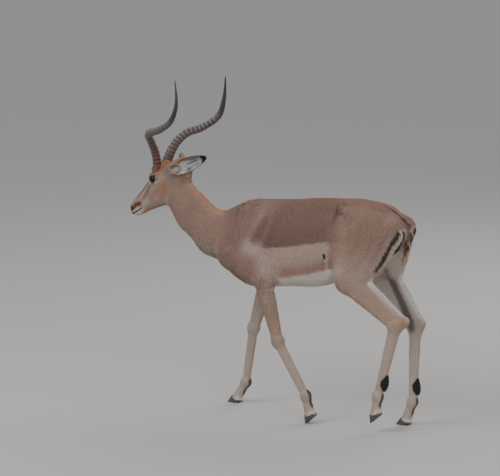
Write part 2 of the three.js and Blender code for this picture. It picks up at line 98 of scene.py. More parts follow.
EYE = dict(u=102.0, v=-4.0, y=45.5, radius=16.5)
NECK_LINE = [(-40, 700, 112), (-168, 728, 89), (-262, 800, 77), (-340, 890, 76)]
NECK_FLAT = (0.68, 0.64, 0.64)
TAIL = [(688, 852, 9.5), (705, 836, 10), (715, 800, 9), (711, 752, 9), (700, 703, 8), (690, 670, 5)]
TAIL_FLAT = 1.35


def in_head(u, v, y):
    """The point u down the face from the crown, v towards the forehead, y across."""
    return CROWN + u * HEAD_DOWN + v * HEAD_UP + y * ACROSS


SHIFT = (np.array(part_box("eye_left")[0]) + np.array(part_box("eye_left")[1])) * 500 - in_head(
    EYE["u"], EYE["v"], LEFT * EYE["y"])


def to_part(points):
    """Millimetres in the maker's frame become metres in the part's frame."""
    return (points + SHIFT) / 1000


# ------------------------------------------------------------ array helpers
def mix(a, b, t):
    """a where t is 0 and b where t is 1, straight between."""
    return a + (b - a) * t


def soft(x, low, high):
    """0 below low, 1 above high, and the cubic 3t^2 - 2t^3 between."""
    t = np.clip((x - low) / (high - low), 0, 1)
    return t * t * (3 - 2 * t)


def fall(x, low, high):
    """1 below low, 0 above high, and the same cubic between."""
    return soft(-x, -high, -low)


def bell(x, middle, width):
    """1 at the middle, falling as exp(-(distance / width)^2)."""
    return np.exp(-((x - middle) / width) ** 2)


def unit(vectors):
    """Vectors over their lengths."""
    return vectors / np.maximum(np.linalg.norm(vectors, axis=-1, keepdims=True), 1e-9)


def line(xs, ys):
    """A curve through the given points, straight between them and flat past its ends."""
    xs, ys = np.array(xs, float), np.array(ys, float)
    order = np.argsort(xs)
    return lambda x: np.interp(x, xs[order], ys[order])


# ------------------------------------------------------------ the body as a field
def dense(table, step=2.0):
    """A station table sampled every 2 mm by the cubic through each station's neighbours."""
    x = table[:, 0]
    fine = np.append(np.arange(x[0], x[-1], step), x[-1])
    before = np.maximum(np.arange(len(x)) - 1, 0)
    after = np.minimum(np.arange(len(x)) + 1, len(x) - 1)
    slopes = (table[after, 1:] - table[before, 1:]) / np.maximum(x[after] - x[before], 1)[:, None]
    i = np.clip(np.searchsorted(x, fine, side="left") - 1, 0, len(x) - 2)
    span = x[i + 1] - x[i]
    t = ((fine - x[i]) / span)[:, None]
    rise = (1 + 2 * t) * (1 - t) ** 2
    value = rise * table[i, 1:] + (1 - rise) * table[i + 1, 1:] + span[:, None] * t * (1 - t) * (
        (1 - t) * slopes[i] - t * slopes[i + 1])
    return fine, value


def tube_field(table, along, up, across):
    """Distance to an elliptical tube: (|(across / half, rise)| - 1) x the smaller half axis,
    plus the distance past the table's ends."""
    fine, value = table
    x = np.clip(along, fine[0], fine[-1])
    top, bottom, half, sag = (np.interp(x, fine, value[:, n]) for n in range(4))
    high = (top - bottom) / 2
    rise = (up - (top + bottom) / 2) / high
    half = half * (1 - sag * np.clip(rise, -1.3, 1.3))
    return (np.hypot(across / half, rise) - 1) * np.minimum(half, high) + np.abs(along - x)


def rod_field(points, a, b, ra, rb, flat=1.0):
    """Distance to a round-ended rod whose radius runs from ra to rb; flat scales its width."""
    axis = b - a
    off = points - a
    t = np.clip(off @ axis / max(axis @ axis, 1), 0, 1)
    off -= t[:, None] * axis
    off[:, 1] /= flat
    return (np.sqrt(np.einsum("ij,ij->i", off, off)) - mix(ra, rb, t)) * min(flat, 1)


def blend(a, b, k):
    """The nearer of two distances, rounded by k where they are alike: min - (k - |a-b|)^2 / 4k."""
    h = np.maximum(k - np.abs(a - b), 0) / k
    return np.minimum(a, b) - h * h * k / 4


def blended(values, k):
    """Several distances blended one after another."""
    near = values[0]
    for value in values[1:]:
        near = blend(near, value, k)
    return near


def bone(leg, key, y):
    """A leg's named point, with y out from the middle plane on the leg's own side."""
    return np.array([leg[key][0], leg["side"] * y, leg[key][1]], float)


def footing(leg):
    """Adds the leg's bones from the top down, the foot's own axes, the middle of its hair line
    and the hair line's normal."""
    angle = math.radians(leg["tilt"])
    forward = np.array([-math.cos(angle), 0, -math.sin(angle)])
    up = np.array([-math.sin(angle), 0, math.cos(angle)])
    back = SOLE - (HAIR_LINE["toe"] + HAIR_LINE["heel"]) / 2
    rise = (HAIR_LINE["rise"] + HAIR_LINE["heel_rise"]) / 2
    toe = np.array([leg["toe"][0], 0, leg["toe"][1]], float)
    hair = toe - forward * back + up * rise
    normal = unit(up * (HAIR_LINE["toe"] - HAIR_LINE["heel"])
                  + forward * (HAIR_LINE["heel_rise"] - HAIR_LINE["rise"]))
    bones = ("elbow", "knee") if "elbow" in leg else ("stifle", "hock")
    return dict(leg, bones=bones + ("fetlock", "coronet"), forward=forward, up=up,
                coronet=(hair[0], hair[2]), hair_normal=normal)


def fore_rods(leg):
    """A fore leg's rods, each (a, b, ra, rb, flat)."""
    at = lambda key, y=FORE_Y: bone(leg, key, y)
    return [
        (np.array([22, leg["side"] * 62, 834.0]), at("shoulder", 70), 42, 56, 0.64),
        (at("shoulder", 74), at("elbow", 84), 48, 41, 0.72),
        (at("elbow"), at("knee"), 41, 21.5, 0.8),
        (at("knee"), at("knee") + [0, 0, 1], 23, 23, 0.92),
        (at("knee"), at("fetlock"), 20, 16, 0.88),
        (at("fetlock"), at("fetlock") + [0, 0, 1], 19, 19, 0.95),
        (at("fetlock"), at("coronet"), 16.5, 21, 1.02),
    ]


def gland_line(leg):
    """The two ends of the scent gland's tuft, behind a hind cannon above the fetlock."""
    fetlock = bone(leg, "fetlock", HIND_Y)
    down = unit(fetlock - bone(leg, "hock", HIND_Y))
    behind = np.cross(down, ACROSS)
    return [fetlock - down * up + behind * 15 for up in (92, 47)]


def hind_rods(leg):
    """A hind leg's rods, each (a, b, ra, rb, flat)."""
    side = leg["side"]
    at = lambda key, y=HIND_Y: bone(leg, key, y)
    crease_x, crease_z = leg["crease"]
    strand = np.array([crease_x - 26, side * 80, crease_z - 12.0])
    web = mix(mix(at("stifle"), at("hock"), 0.3), strand, 0.55)
    return [
        (at("hip", 58), at("stifle", 84), 104, 56, 0.58),
        (np.array([1, side, 1]) * BUTTOCK_TOP,
         np.array([1, side, 1]) * BUTTOCK_END + [crease_x, 0, crease_z], 56, 44, 0.8),
        (np.array([458, side * 70, 886.0]), np.array([500, side * 58, 862.0]), 20, 40, 1),
        (at("stifle"), at("hock"), 54, 23, 0.62),
        (strand, at("point"), 30, 13, 0.7),
        (web, mix(at("hock"), at("point"), 0.5), 36, 16, 0.5),
        (at("hock"), at("fetlock"), 25, 17, 0.84),
        (at("hock"), at("point"), 24, 14, 0.8),
        (at("fetlock"), at("fetlock") + [0, 0, 1], 20, 20, 0.95),
        (at("fetlock"), at("coronet"), 16.5, 21, 1.02),
    ]


FORE = [footing(leg) for leg in FORE]
HIND = [footing(leg) for leg in HIND]
LEGS = [(leg, fore_rods(leg)) for leg in FORE] + [(leg, hind_rods(leg)) for leg in HIND]
TRUNK_DENSE, HEAD_DENSE = dense(TRUNK), dense(HEAD)


def middle_rods(stations, flats):
    """Rods from station to station (x, z, radius) of the middle plane."""
    return [(np.array([ax, 0, az], float), np.array([bx, 0, bz], float), ra, rb, flat)
            for (ax, az, ra), (bx, bz, rb), flat in zip(stations, stations[1:], flats)]


NECK_RODS = middle_rods(NECK_LINE, NECK_FLAT)
TAIL_RODS = middle_rods(TAIL, [TAIL_FLAT] * len(TAIL))
HEAD_RODS = [rod for s in (LEFT, RIGHT) for rod in (
    (in_head(EYE["u"], EYE["v"] + 4, 40 * s), in_head(EYE["u"], EYE["v"] + 4, 40 * s) + [0, 0, 1],
     21, 21, 1),
    (in_head(92, -52, 30 * s), in_head(158, -78, 22 * s), 24, 15, 0.8),
    (in_head(80, 12, 34 * s), in_head(48, 20, 28 * s), 14, 18, 1),
)]

EAR_ROOT = (-334.0, 45.0, 984.0)
EAR_HALF_WIDTH = 28.0
EAR_SINK = 20.0
EARS = [
    dict(side=LEFT, along=(163, -24, 66), open=(0.1, -1, -0.1)),
    dict(side=RIGHT, along=(-90, 127, 36), open=(-0.75, -0.35, -0.6)),
]


def ear_axes(ear):
    """An ear's root, the way along it, the way it opens, the way across it and its length."""
    along = np.array(ear["along"], float)
    length = unit(along)
    face = np.array(ear["open"], float)
    face = unit(face - length * (face @ length))
    across = np.cross(length, face)
    root = np.array([EAR_ROOT[0], ear["side"] * EAR_ROOT[1], EAR_ROOT[2]])
    return root, length, face, across, np.linalg.norm(along)


for EAR in EARS:
    root, length, front, *_ = ear_axes(EAR)
    HEAD_RODS.append((root - 6 * length, root + 12 * length - 3 * front, 18, 11.5, 1))


def head_place(points):
    """The head's own coordinates (u, v, y) of points."""
    off = points - CROWN
    return off @ HEAD_DOWN, off @ HEAD_UP, points[:, 1]


# Each eye looks out and a little forward; its opening is a leaf shape in the plane it faces.
LIDS = dict(shell=18.2, wide=16.0, high=11.4, floor=3.6)


def eye_axes(side):
    """An eye's centre, the way along its opening, up it and outward."""
    out = unit(np.array([0, side, 0]) + 0.16 * HEAD_DOWN + 0.1 * HEAD_UP)
    along = HEAD_DOWN * 0.97 - HEAD_UP * 0.24
    along = unit(along - out * (along @ out))
    return in_head(EYE["u"], EYE["v"], side * EYE["y"]), along, np.cross(along, out) * -side, out


def eye_place(points, side):
    """(along the opening, up it, outward) from the eye's centre."""
    centre, *axes = eye_axes(side)
    return [(points - centre) @ axis for axis in axes]


def leaf(p, q, wide, high):
    """Distance to a leaf shape: |q| - high (1 - (p / wide)^2), over its slope."""
    slope = np.sqrt(1 + (2 * high * np.clip(p / wide, -1.4, 1.4) / wide) ** 2)
    return (np.abs(q) - high * (1 - (p / wide) ** 2)) / slope


def lid_shells(points, value):
    """Balls a little larger than the eyes, run into the head."""
    for side in (LEFT, RIGHT):
        off = np.linalg.norm(points - eye_axes(side)[0], axis=1)
        value = blend(value, off - LIDS["shell"], 5)
    return value


def carve_face(points, value):
    """Takes the lids' openings and the nostrils out of the head."""
    u, v, y = head_place(points)
    for side in (LEFT, RIGHT):
        p, q, out = eye_place(points, side)
        opening = leaf(p + 1, q - 0.4 + 0.02 * p, LIDS["wide"], LIDS["high"])
        value = -blend(-value, np.maximum(opening, LIDS["floor"] - out), 1.2)
        nostril = np.sqrt(((u - 288 + 0.5 * (v - 2)) / 5.5) ** 2 + ((v - 2) / 10) ** 2
                          + ((y - side * 15.5) / 6.5) ** 2)
        value = -blend(-value, (nostril - 1) * 5, 3)
    return value


def leg_field(points, leg, rods):
    """A leg's rods run together, ending at the hair line above the claws."""
    value = blended([rod_field(points, *rod) for rod in rods], LEG_FILLET)
    hair = bone(leg, "coronet", FOOT_Y)
    return -blend(-value, (points - hair) @ leg["hair_normal"], 3)


def body_field(points):
    """The bare body's distance: trunk, neck, legs, head and tail run together."""
    x, y, z = points.T
    parts = [tube_field(TRUNK_DENSE, x, z, y)]
    parts += [rod_field(points, *rod) for rod in NECK_RODS]
    parts += [leg_field(points, leg, rods) for leg, rods in LEGS]
    value = blended(parts, FILLET)
    u, v, _ = head_place(points)
    skull = [tube_field(HEAD_DENSE, u, v, y)] + [rod_field(points, *rod) for rod in HEAD_RODS]
    value = blend(value, lid_shells(points, blended(skull, HEAD_FILLET)), HEAD_FILLET)
    tail = blended([rod_field(points, *rod) for rod in TAIL_RODS], TAIL_FILLET)
    return blend(value, tail, TAIL_FILLET)


COAT_DEPTH = dict(body=3.4, legs=0.8, head=1.4)


def coat_depth(points):
    """How far the skin lies under the coat's surface: thin on face and feet."""
    u, _, _ = head_place(points)
    on_head = soft(u, -10, 60) * fall(points[:, 0], -345, -300)
    on_legs = 1 - soft(points[:, 2], 330, 660)
    return mix(mix(COAT_DEPTH["body"], COAT_DEPTH["legs"], on_legs), COAT_DEPTH["head"], on_head)


def skin_field(points):
    """The bare body's distance, moved inward by the coat's depth."""
    return body_field(points) + coat_depth(points)


def carved_field(points):
    """The skin's distance with the lids and nostrils open."""
    return carve_face(points, skin_field(points))


def slope(field, points, step=0.5):
    """The field's value and gradient by small steps along each axis."""
    value = field(points)
    steps = [(field(points + step * axis) - value) / step for axis in np.eye(3)]
    return value, np.stack(steps, 1)


def settle(field, points, rounds, most):
    """Newton steps onto the field's zero surface: point - value x gradient / |gradient|^2."""
    for _ in range(rounds):
        value, grad = slope(field, points)
        step = value / np.maximum(np.einsum("ij,ij->i", grad, grad), 0.05)
        reach = np.linalg.norm(grad, axis=1) * np.abs(step)
        points = points - grad * (step * np.minimum(1, most / np.maximum(reach, 1e-6)))[:, None]
    return points


# ------------------------------------------------------------ the skin's mesh
CELL = 7.0  # the grid's step
BLOCK = 4  # cells to a block's side
GRID_LOW, GRID_HIGH = np.array([-600.0, -156, -12]), np.array([780.0, 156, 1062])
EDGE_PAIRS = [(0, 1), (2, 3), (4, 5), (6, 7), (0, 2), (1, 3), (4, 6), (5, 7),
              (0, 4), (1, 5), (2, 6), (3, 7)]
CORNERS = np.array([(i, j, k) for i in (0, 1) for j in (0, 1) for k in (0, 1)])


def grid_values(field, low, counts):
    """The field on a grid, worked out fully only in blocks that the surface may pass through."""
    blocks = -(-counts // BLOCK)
    nodes = blocks * BLOCK + 1
    centre = np.stack(np.meshgrid(*[np.arange(n) for n in blocks], indexing="ij"), -1)
    middle = low + (centre.reshape(-1, 3) + 0.5) * BLOCK * CELL
    rough = field(middle).reshape(blocks)
    near = np.abs(rough) < BLOCK * CELL * 0.9 + 8
    values = np.pad(rough.repeat(BLOCK, 0).repeat(BLOCK, 1).repeat(BLOCK, 2), [(0, 1)] * 3, "edge")
    wanted = np.zeros(nodes, bool)
    wide = near.repeat(BLOCK, 0).repeat(BLOCK, 1).repeat(BLOCK, 2)
    for i, j, k in CORNERS:
        wanted[i:nodes[0] - 1 + i, j:nodes[1] - 1 + j, k:nodes[2] - 1 + k] |= wide
    index = np.argwhere(wanted)
    values[wanted] = field(low + index * CELL)
    return values


def surface_net(values, low):
    """One vertex in each cell that the surface crosses, at the mean of its edge crossings, and
    one quad round each grid edge that it crosses, facing outward."""
    inside = values < 0
    cells = [values[i:values.shape[0] - 1 + i, j:values.shape[1] - 1 + j,
                    k:values.shape[2] - 1 + k] for i, j, k in CORNERS]
    flags = sum((c < 0).astype(np.int8) for c in cells)
    active = np.argwhere((flags > 0) & (flags < 8))
    corner = np.stack([c[tuple(active.T)] for c in cells], 1)
    total, count = np.zeros((len(active), 3)), np.zeros(len(active))
    for a, b in EDGE_PAIRS:
        va, vb = corner[:, a], corner[:, b]
        crossed = (va < 0) != (vb < 0)
        t = np.where(crossed, va / np.where(crossed, va - vb, 1), 0)
        spot = CORNERS[a] + t[:, None] * (CORNERS[b] - CORNERS[a])
        total += spot * crossed[:, None]
        count += crossed
    points = low + (active + total / count[:, None]) * CELL
    number = np.full(np.array(values.shape) - 1, -1)
    number[tuple(active.T)] = np.arange(len(active))
    quads = []
    for axis in range(3):
        one, two = (axis + 1) % 3, (axis + 2) % 3
        ahead = np.roll(inside, -1, axis)
        crossing = inside != ahead
        keep = [slice(1, n - 1) for n in values.shape]
        edge = np.argwhere(crossing[tuple(keep)]) + 1
        ring = []
        for d1, d2 in ((0, 0), (1, 0), (1, 1), (0, 1)):
            cell = edge.copy()
            cell[:, one] -= d1
            cell[:, two] -= d2
            ring.append(number[tuple(cell.T)])
        quad = np.stack(ring, 1)
        outward = inside[tuple(edge.T)]
        quads.append(np.where(outward[:, None], quad, quad[:, ::-1]))
    return points, np.concatenate(quads)


def split(points, quads, marked, table):
    """Each marked quad becomes four; edge middles are shared and listed in the table."""
    q = quads[marked]
    ends = np.sort(np.stack([q, np.roll(q, -1, 1)], 2).reshape(-1, 2), 1)
    pairs, where = np.unique(ends, axis=0, return_inverse=True)
    first = len(points)
    middles = first + where.reshape(-1, 4)
    centres = (first + len(pairs) + np.arange(len(q)))[:, None]
    new = np.concatenate([points[pairs].mean(1), points[q].mean(1)])
    new = settle(skin_field, new, 2, 3.0)
    children = [np.column_stack([q[:, c], middles[:, c], centres, middles[:, c - 1]])
                for c in range(4)]
    rows = np.column_stack([pairs, first + np.arange(len(pairs))])
    quads = np.concatenate([quads[~marked], *children])
    fresh = np.zeros(len(quads), bool)
    fresh[np.count_nonzero(~marked):] = True
    return np.concatenate([points, new]), quads, fresh, np.concatenate([table, rows])


def edge_middles(a, b, keys, values, size, depth):
    """The vertices that hang on the edge from a to b, in order, -1 where there is none."""
    key = np.minimum(a, b) * size + np.maximum(a, b)
    at = np.minimum(np.searchsorted(keys, key), len(keys) - 1)
    middle = np.where((keys[at] == key) & (a >= 0) & (b >= 0), values[at], -1)
    if depth == 1:
        return middle[:, None]
    before = edge_middles(np.where(middle < 0, -1, a), middle, keys, values, size, depth - 1)
    after = edge_middles(middle, np.where(middle < 0, -1, b), keys, values, size, depth - 1)
    return np.concatenate([before, middle[:, None], after], 1)


def polygons(quads, table, size):
    """The quads as polygons that take in the vertices hanging on their edges."""
    key = table[:, 0] * size + table[:, 1]
    order = np.argsort(key)
    keys, values = key[order], table[order, 2]
    columns = []
    for c in range(4):
        a, b = quads[:, c], quads[:, (c + 1) % 4]
        columns += [a[:, None], edge_middles(a, b, keys, values, size, 3)]
    wide = np.concatenate(columns, 1)
    present = wide >= 0
    return wide[present], present.sum(1)


def relax(points, quads, rounds):
    """Each vertex moves halfway to the mean of its edge neighbours."""
    a, b = quads.ravel(), np.roll(quads, -1, 1).ravel()
    count = np.bincount(a, minlength=len(points)) + np.bincount(b, minlength=len(points))
    for _ in range(rounds):
        total = np.stack([np.bincount(a, points[b, n], len(points))
                          + np.bincount(b, points[a, n], len(points)) for n in range(3)], 1)
        points = mix(points, total / np.maximum(count, 1)[:, None], 0.5)
    return points


def along_line(points, path):
    """Distance from points to a bent line and the share of the way along it."""
    path = np.array(path, float)
    lengths = np.linalg.norm(np.diff(path, axis=0), axis=1)
    done = np.append(0, np.cumsum(lengths))
    best, share = np.full(len(points), 1e9), np.zeros(len(points))
    for n, (a, b) in enumerate(zip(path, path[1:])):
        t = np.clip((points - a) @ (b - a) / max((b - a) @ (b - a), 1e-6), 0, 1)
        gap = np.linalg.norm(points - a - t[:, None] * (b - a), axis=1)
        nearer = gap < best
        best[nearer] = gap[nearer]
        share[nearer] = (done[n] + t[nearer] * lengths[n]) / done[-1]
    return best, share


# Folds and muscle edges: (path of x, |y|, z; height of the ridge in mm, its half width). The
# body's are made a little stronger.
BODY_STRENGTH = 1.3
HIP_CREST = [(420, 92, 815), (422, 84, 850), (428, 80, 875), (442, 76, 895), (472, 50, 912)]
RELIEF = [
    (HIP_CREST, 3.2, 15),
    ([(446, 90, 838), (452, 86, 860), (468, 78, 876)], -2.5, 16),
    ([(112, 76, 850), (90, 97, 785), (66, 105, 733), (58, 106, 700)], 3.5, 17),
    ([(140, 84, 840), (122, 104, 775), (104, 112, 720)], -2.5, 18),
    ([(60, 104, 700), (110, 112, 680), (150, 110, 636), (166, 98, 596)], 4.0, 15),
    ([(150, 112, 690), (182, 112, 640), (190, 100, 600)], -3.5, 14),
    ([(176, 92, 588), (160, 92, 560), (140, 95, 540)], -4.0, 8),
    ([(408, 112, 700), (412, 100, 645), (425, 95, 600)], 3.0, 10),
    ([(396, 112, 690), (398, 104, 640)], -2.5, 11),
    ([(-52, 92, 700), (-30, 100, 660), (0, 104, 620)], 3.0, 22),
    ([(-100, 62, 720), (-84, 78, 680), (-70, 84, 640)], -3.5, 13),
    ([(-160, 60, 700), (-140, 66, 676), (-128, 66, 660)], -2.5, 6),
    ([(-150, 58, 715), (-128, 68, 694), (-110, 70, 678)], 2.0, 6),
    ([(-172, 50, 690), (-158, 54, 672)], 2.0, 5),
    ([(560, 106, 760), (530, 112, 700), (520, 112, 650), (530, 106, 600)], -2.5, 22),
    ([(640, 96, 790), (618, 104, 730), (590, 106, 680)], 2.0, 18),
    ([(664, 80, 850), (690, 70, 820), (700, 62, 780)], 3.0, 12),
    ([(560, 102, 560), (610, 98, 520), (660, 96, 478)], -3.0, 9),
    ([(520, 112, 560), (580, 108, 510), (640, 100, 462)], 2.0, 12),
    ([(200, 124, 800), (230, 126, 700), (250, 120, 620)], 0.8, 10),
    ([(240, 124, 800), (270, 127, 700), (290, 122, 630)], 0.8, 10),
    ([(280, 124, 800), (310, 127, 700), (330, 120, 640)], 0.8, 10),
    ([(-250, 50, 850), (-180, 62, 780), (-110, 74, 720)], -2.5, 16),
    ([(-300, 54, 900), (-240, 60, 830)], -1.5, 12),
]
LIP = line((240, 262, 285, 300, 312), (-37, -34, -26, -19, -13))

# Folds of the face, by (u, v, y).
FACE_RELIEF = [
    ([(70, -18, 50), (88, -24, 52), (112, -25, 50), (128, -19, 42)], 1.6, 5),
    ([(76, 12, 46), (94, 20, 44), (116, 19, 42)], 2.0, 6),
    ([(128, -2, 40), (142, -6, 36), (156, -10, 34)], -1.6, 6),
    ([(118, -34, 46), (160, -36, 38), (205, -32, 32)], 1.6, 7),
    ([(70, -60, 49), (110, -70, 46), (150, -74, 37), (190, -66, 30)], 1.2, 9),
    ([(160, 14, 26), (210, 12, 24), (255, 10, 22)], -1.2, 8),
    ([(236, -30, 26), (262, -28, 25), (290, -16, 20)], 1.4, 5),
    ([(240, -45, 23), (270, -38, 21), (292, -30, 16)], 1.6, 5),
    ([(276, 8, 20), (286, 12, 17), (296, 8, 13)], 1.6, 4),
    ([(20, 2, 44), (40, -14, 48), (52, -34, 50)], 1.5, 8),
    ([(240, -37, 26), (262, -34, 26), (285, -26, 21), (298, -20, 14), (303, -17, 0)], -3.2, 2.2),
]


def relief(points):
    """The height of folds and muscle edges: the sum of height x exp(-(distance / width)^2)."""
    mirrored = points * [1, 0, 1] + np.abs(points[:, 1:2]) * ACROSS
    face = np.stack(head_place(mirrored), 1)
    height = np.zeros(len(points))
    for folds, spots, strength in ((RELIEF, mirrored, BODY_STRENGTH), (FACE_RELIEF, face, 1)):
        for path, tall, wide in folds:
            middle = np.mean(path, 0)
            reach = np.linalg.norm(np.array(path) - middle, axis=1).max() + 3 * wide
            near = np.linalg.norm(spots - middle, axis=1) < reach
            gap, share = along_line(spots[near], path)
            ends = soft(share, 0, 0.25) * fall(share, 0.75, 1)
            height[near] += strength * tall * bell(gap, 0, wide) * ends
    return height


def finer(points, step):
    """Where the mesh gets finer at each step: head, lower legs and tail, then eyes and nose, then
    lids, nostrils and lips."""
    x, _, z = points.T
    u, v, y = head_place(points)
    off = np.hypot(u - EYE["u"], v - EYE["v"])
    return (
        ((u > -30) & (x < -340) & (z > 770)) | (z < 330) | ((x > 700) & (z > 600)),
        ((off < 34) & (np.abs(y) > 26)) | ((u > 236) & (v > -52)),
        ((off < 22) & (np.abs(y) > 40)) | ((u > 274) & (np.abs(v - 2) < 14))
        | ((u > 244) & (np.abs(v - LIP(u)) < 6)),
    )[step]


def body_skin():
    """The body's skin: vertices, the polygons' corners in a row, and how many each has."""
    counts = np.ceil((GRID_HIGH - GRID_LOW) / CELL).astype(int)
    points, quads = surface_net(grid_values(skin_field, GRID_LOW, counts), GRID_LOW)
    points = settle(skin_field, points, 3, CELL)
    points = settle(skin_field, relax(points, quads, 2), 2, 3.0)
    fresh, table = np.ones(len(quads), bool), np.zeros((0, 3), int)
    for step in range(3):
        marked = fresh & finer(points[quads].mean(1), step)
        points, quads, fresh, table = split(points, quads, marked, table)
    u, v, _ = head_place(points)
    faces = (np.hypot(u - EYE["u"], v - EYE["v"]) < 30) | (u > 260)
    points[faces] = settle(carved_field, points[faces], 8, 2.5)
    _, grad = slope(skin_field, points)
    points = points + unit(grad) * relief(points)[:, None]
    corners, counts = polygons(quads, table, len(points))
    return points, corners, counts


# ------------------------------------------------------------ ears
def ear_shape(t):
    """The half angle that the leaf curls through at t, and its radius. The root is nearly a
    closed tube."""
    wide = EAR_HALF_WIDTH * np.sin(math.pi * mix(0.05, 0.985, t)) ** 0.7
    curl = mix(1.4, 0.7, t) + 1.35 * fall(t, 0, 0.24)
    return curl, wide / np.sin(np.minimum(curl, math.pi / 2))


def ear_mesh(ear, rings=46, arc=22):
    """A cupped leaf: at each ring an outer arc, then an inner arc back, both of the ring's
    radius about its own middle, with folds inside and a thin rounded rim."""
    root, length, face, across, long = ear_axes(ear)
    t = np.linspace(0, 1, rings)[:, None]
    curl, radius = ear_shape(t)
    s = np.linspace(-1, 1, arc)[None]
    rim = np.sqrt(np.clip(1 - np.abs(s) ** 6, 0, 1))
    wall = mix(2.6, 1.2, t) * rim
    fold = 0.9 * np.cos(s * 13) * soft(1 - np.abs(s), 0.1, 0.5)
    fold = fold * soft(t, 0.1, 0.35) * fall(t, 0.6, 0.9)
    fold = fold + 2.2 * bell(s, 0.45, 0.13) * fall(t, 0.2, 0.42)
    middle = (root + length * mix(-EAR_SINK, long, t)[..., None]
              + face * (radius * 0.6)[..., None])

    def arc_points(out):
        """An arc of each ring, out from its radius by the given amount."""
        angle = s * curl
        return (middle + across * ((radius + out) * np.sin(angle))[..., None]
                - face * ((radius + out) * np.cos(angle))[..., None])
    outer, inner = arc_points(0.4 + wall), arc_points(0.4 - fold)
    return np.concatenate([outer, inner[:, ::-1]], 1)


def loft(ring):
    """Vertices and faces of rings of equal length, with a fan to a middle point at each end."""
    rows, sides, _ = ring.shape
    index = np.arange(rows * sides).reshape(rows, sides)
    around = np.roll(index, -1, 1)
    quads = np.stack([index[:-1], around[:-1], around[1:], index[1:]], -1).reshape(-1, 4)
    ends = np.stack([ring[0].mean(0), ring[-1].mean(0)])
    points = np.concatenate([ring.reshape(-1, 3), ends])
    first, last = rows * sides, rows * sides + 1
    tris = np.concatenate([
        np.stack([np.full(sides, first), around[0], index[0]], -1),
        np.stack([np.full(sides, last), index[-1], around[-1]], -1),
    ])
    return points, quads, tris


# ------------------------------------------------------------ Blender meshes
def make_mesh(name, points, faces):
    """A mesh object from points in millimetres and faces, either (corners, counts) or a list of
    arrays of quads and triangles."""
    if isinstance(faces, tuple):
        corners, counts = faces
    else:
        corners = np.concatenate([f.ravel() for f in faces])
        counts = np.concatenate([np.full(len(f), f.shape[1]) for f in faces])
    mesh = bpy.data.meshes.new(name)
    mesh.vertices.add(len(points))
    mesh.vertices.foreach_set("co", to_part(points).astype(np.float32).ravel())
    mesh.loops.add(len(corners))
    mesh.loops.foreach_set("vertex_index", corners.astype(np.int32))
    mesh.polygons.add(len(counts))
    starts = np.append(0, np.cumsum(counts)[:-1])
    mesh.polygons.foreach_set("loop_start", starts.astype(np.int32))
    mesh.polygons.foreach_set("use_smooth", np.ones(len(counts), bool))
    mesh.update(calc_edges=True)
    mesh.validate()
    obj = bpy.data.objects.new(name, mesh)
    bpy.context.scene.collection.objects.link(obj)
    return obj


def lofted(name, ring):
    """A closed mesh object of a loft's rings."""
    points, quads, tris = loft(ring)
    return outward(make_mesh(name, points, [quads, tris]))


def outward(obj):
    """Turns the faces outward if the mesh's volume, the sum of a . (b x c) / 6, is below 0."""
    mesh = obj.data
    mesh.calc_loop_triangles()
    points = read(mesh.vertices, "co", 3)
    tri = read(mesh.loop_triangles, "vertices", 3, np.int32)
    a, b, c = (points[tri[:, n]] for n in range(3))
    if np.einsum("ij,ij->i", a, np.cross(b, c)).sum() < 0:
        mesh.flip_normals()
    return obj


def read(items, key, width, kind=np.float32):
    """One property of all the items as an array, width numbers to a row."""
    found = np.empty(len(items) * width, kind)
    items.foreach_get(key, found)
    return found.reshape(-1, width) if width > 1 else found


def paint_points(mesh, colours, name="hide"):
    """Stores a colour at each vertex."""
    layer = mesh.color_attributes.new(name, "FLOAT_COLOR", "POINT")
    full = np.concatenate([colours, np.ones((len(colours), 1))], 1)
    layer.data.foreach_set("color", full.astype(np.float32).ravel())


# ------------------------------------------------------------ markings
def tone(red, green, blue):
    """A colour given in screen values from 0 to 255, made linear."""
    c = np.array([red, green, blue]) / 255
    return np.where(c <= 0.04045, c / 12.92, ((c + 0.055) / 1.055) ** 2.4)


SADDLE, RIDGE, SHOULDER = tone(144, 113, 101), tone(164, 128, 108), tone(168, 136, 122)
NECK, NAPE, THROAT = tone(172, 139, 123), tone(200, 152, 118), tone(176, 159, 148)
FLANK, UNDER_FLANK, BELLY = tone(196, 170, 154), tone(164, 122, 98), tone(230, 222, 210)
THIGH, THIGH_LOW, ELBOW = tone(176, 142, 126), tone(198, 173, 159), tone(212, 194, 181)
LEG, LEG_PALE, WHITE = tone(194, 163, 144), tone(212, 192, 176), tone(236, 230, 222)
CREAM, BLACK, GREY = tone(224, 198, 168), tone(28, 25, 27), tone(128, 124, 122)
RUST, ORANGE, INNER = tone(188, 138, 108), tone(186, 130, 96), tone(204, 190, 178)


def layered(base, *coats):
    """Colours laid over the base, of one colour or many, one after another, each given with its
    weight."""
    for colour, weight in coats:
        base = base + (colour - base) * np.clip(weight, 0, 1)[:, None]
    return base


def mottle(points, size, seed):
    """Slow uneven shading from -1 to 1: a sum of six sine waves in seeded directions."""
    rng = np.random.default_rng(seed)
    waves = rng.normal(size=(6, 3)) / size
    phases = rng.uniform(0, 2 * math.pi, 6)
    return np.sin(points @ waves.T + phases).sum(1) / 6


SADDLE_FRONT = line((700, 733, 780, 833, 900), (58, 66, 84, 111, 128))  # x by height
SADDLE_LOW = line((42, 75, 123, 218, 306, 362, 402, 520), (731, 715, 709, 723, 739, 750, 755, 762))
BELLY_LINE = line((140, 162, 180, 234, 326, 396, 430), (580, 592, 590, 601, 620, 641, 650))
STRIPE = line((640, 703, 765, 814), (66, 62, 52, 50))  # degrees round the buttock by height
INSIDE = line((640, 709, 759, 815), (120, 112, 97, 86))
BLAZE = line((112, 160, 262), (22, 24, 16))  # half width of the dark blaze down the face


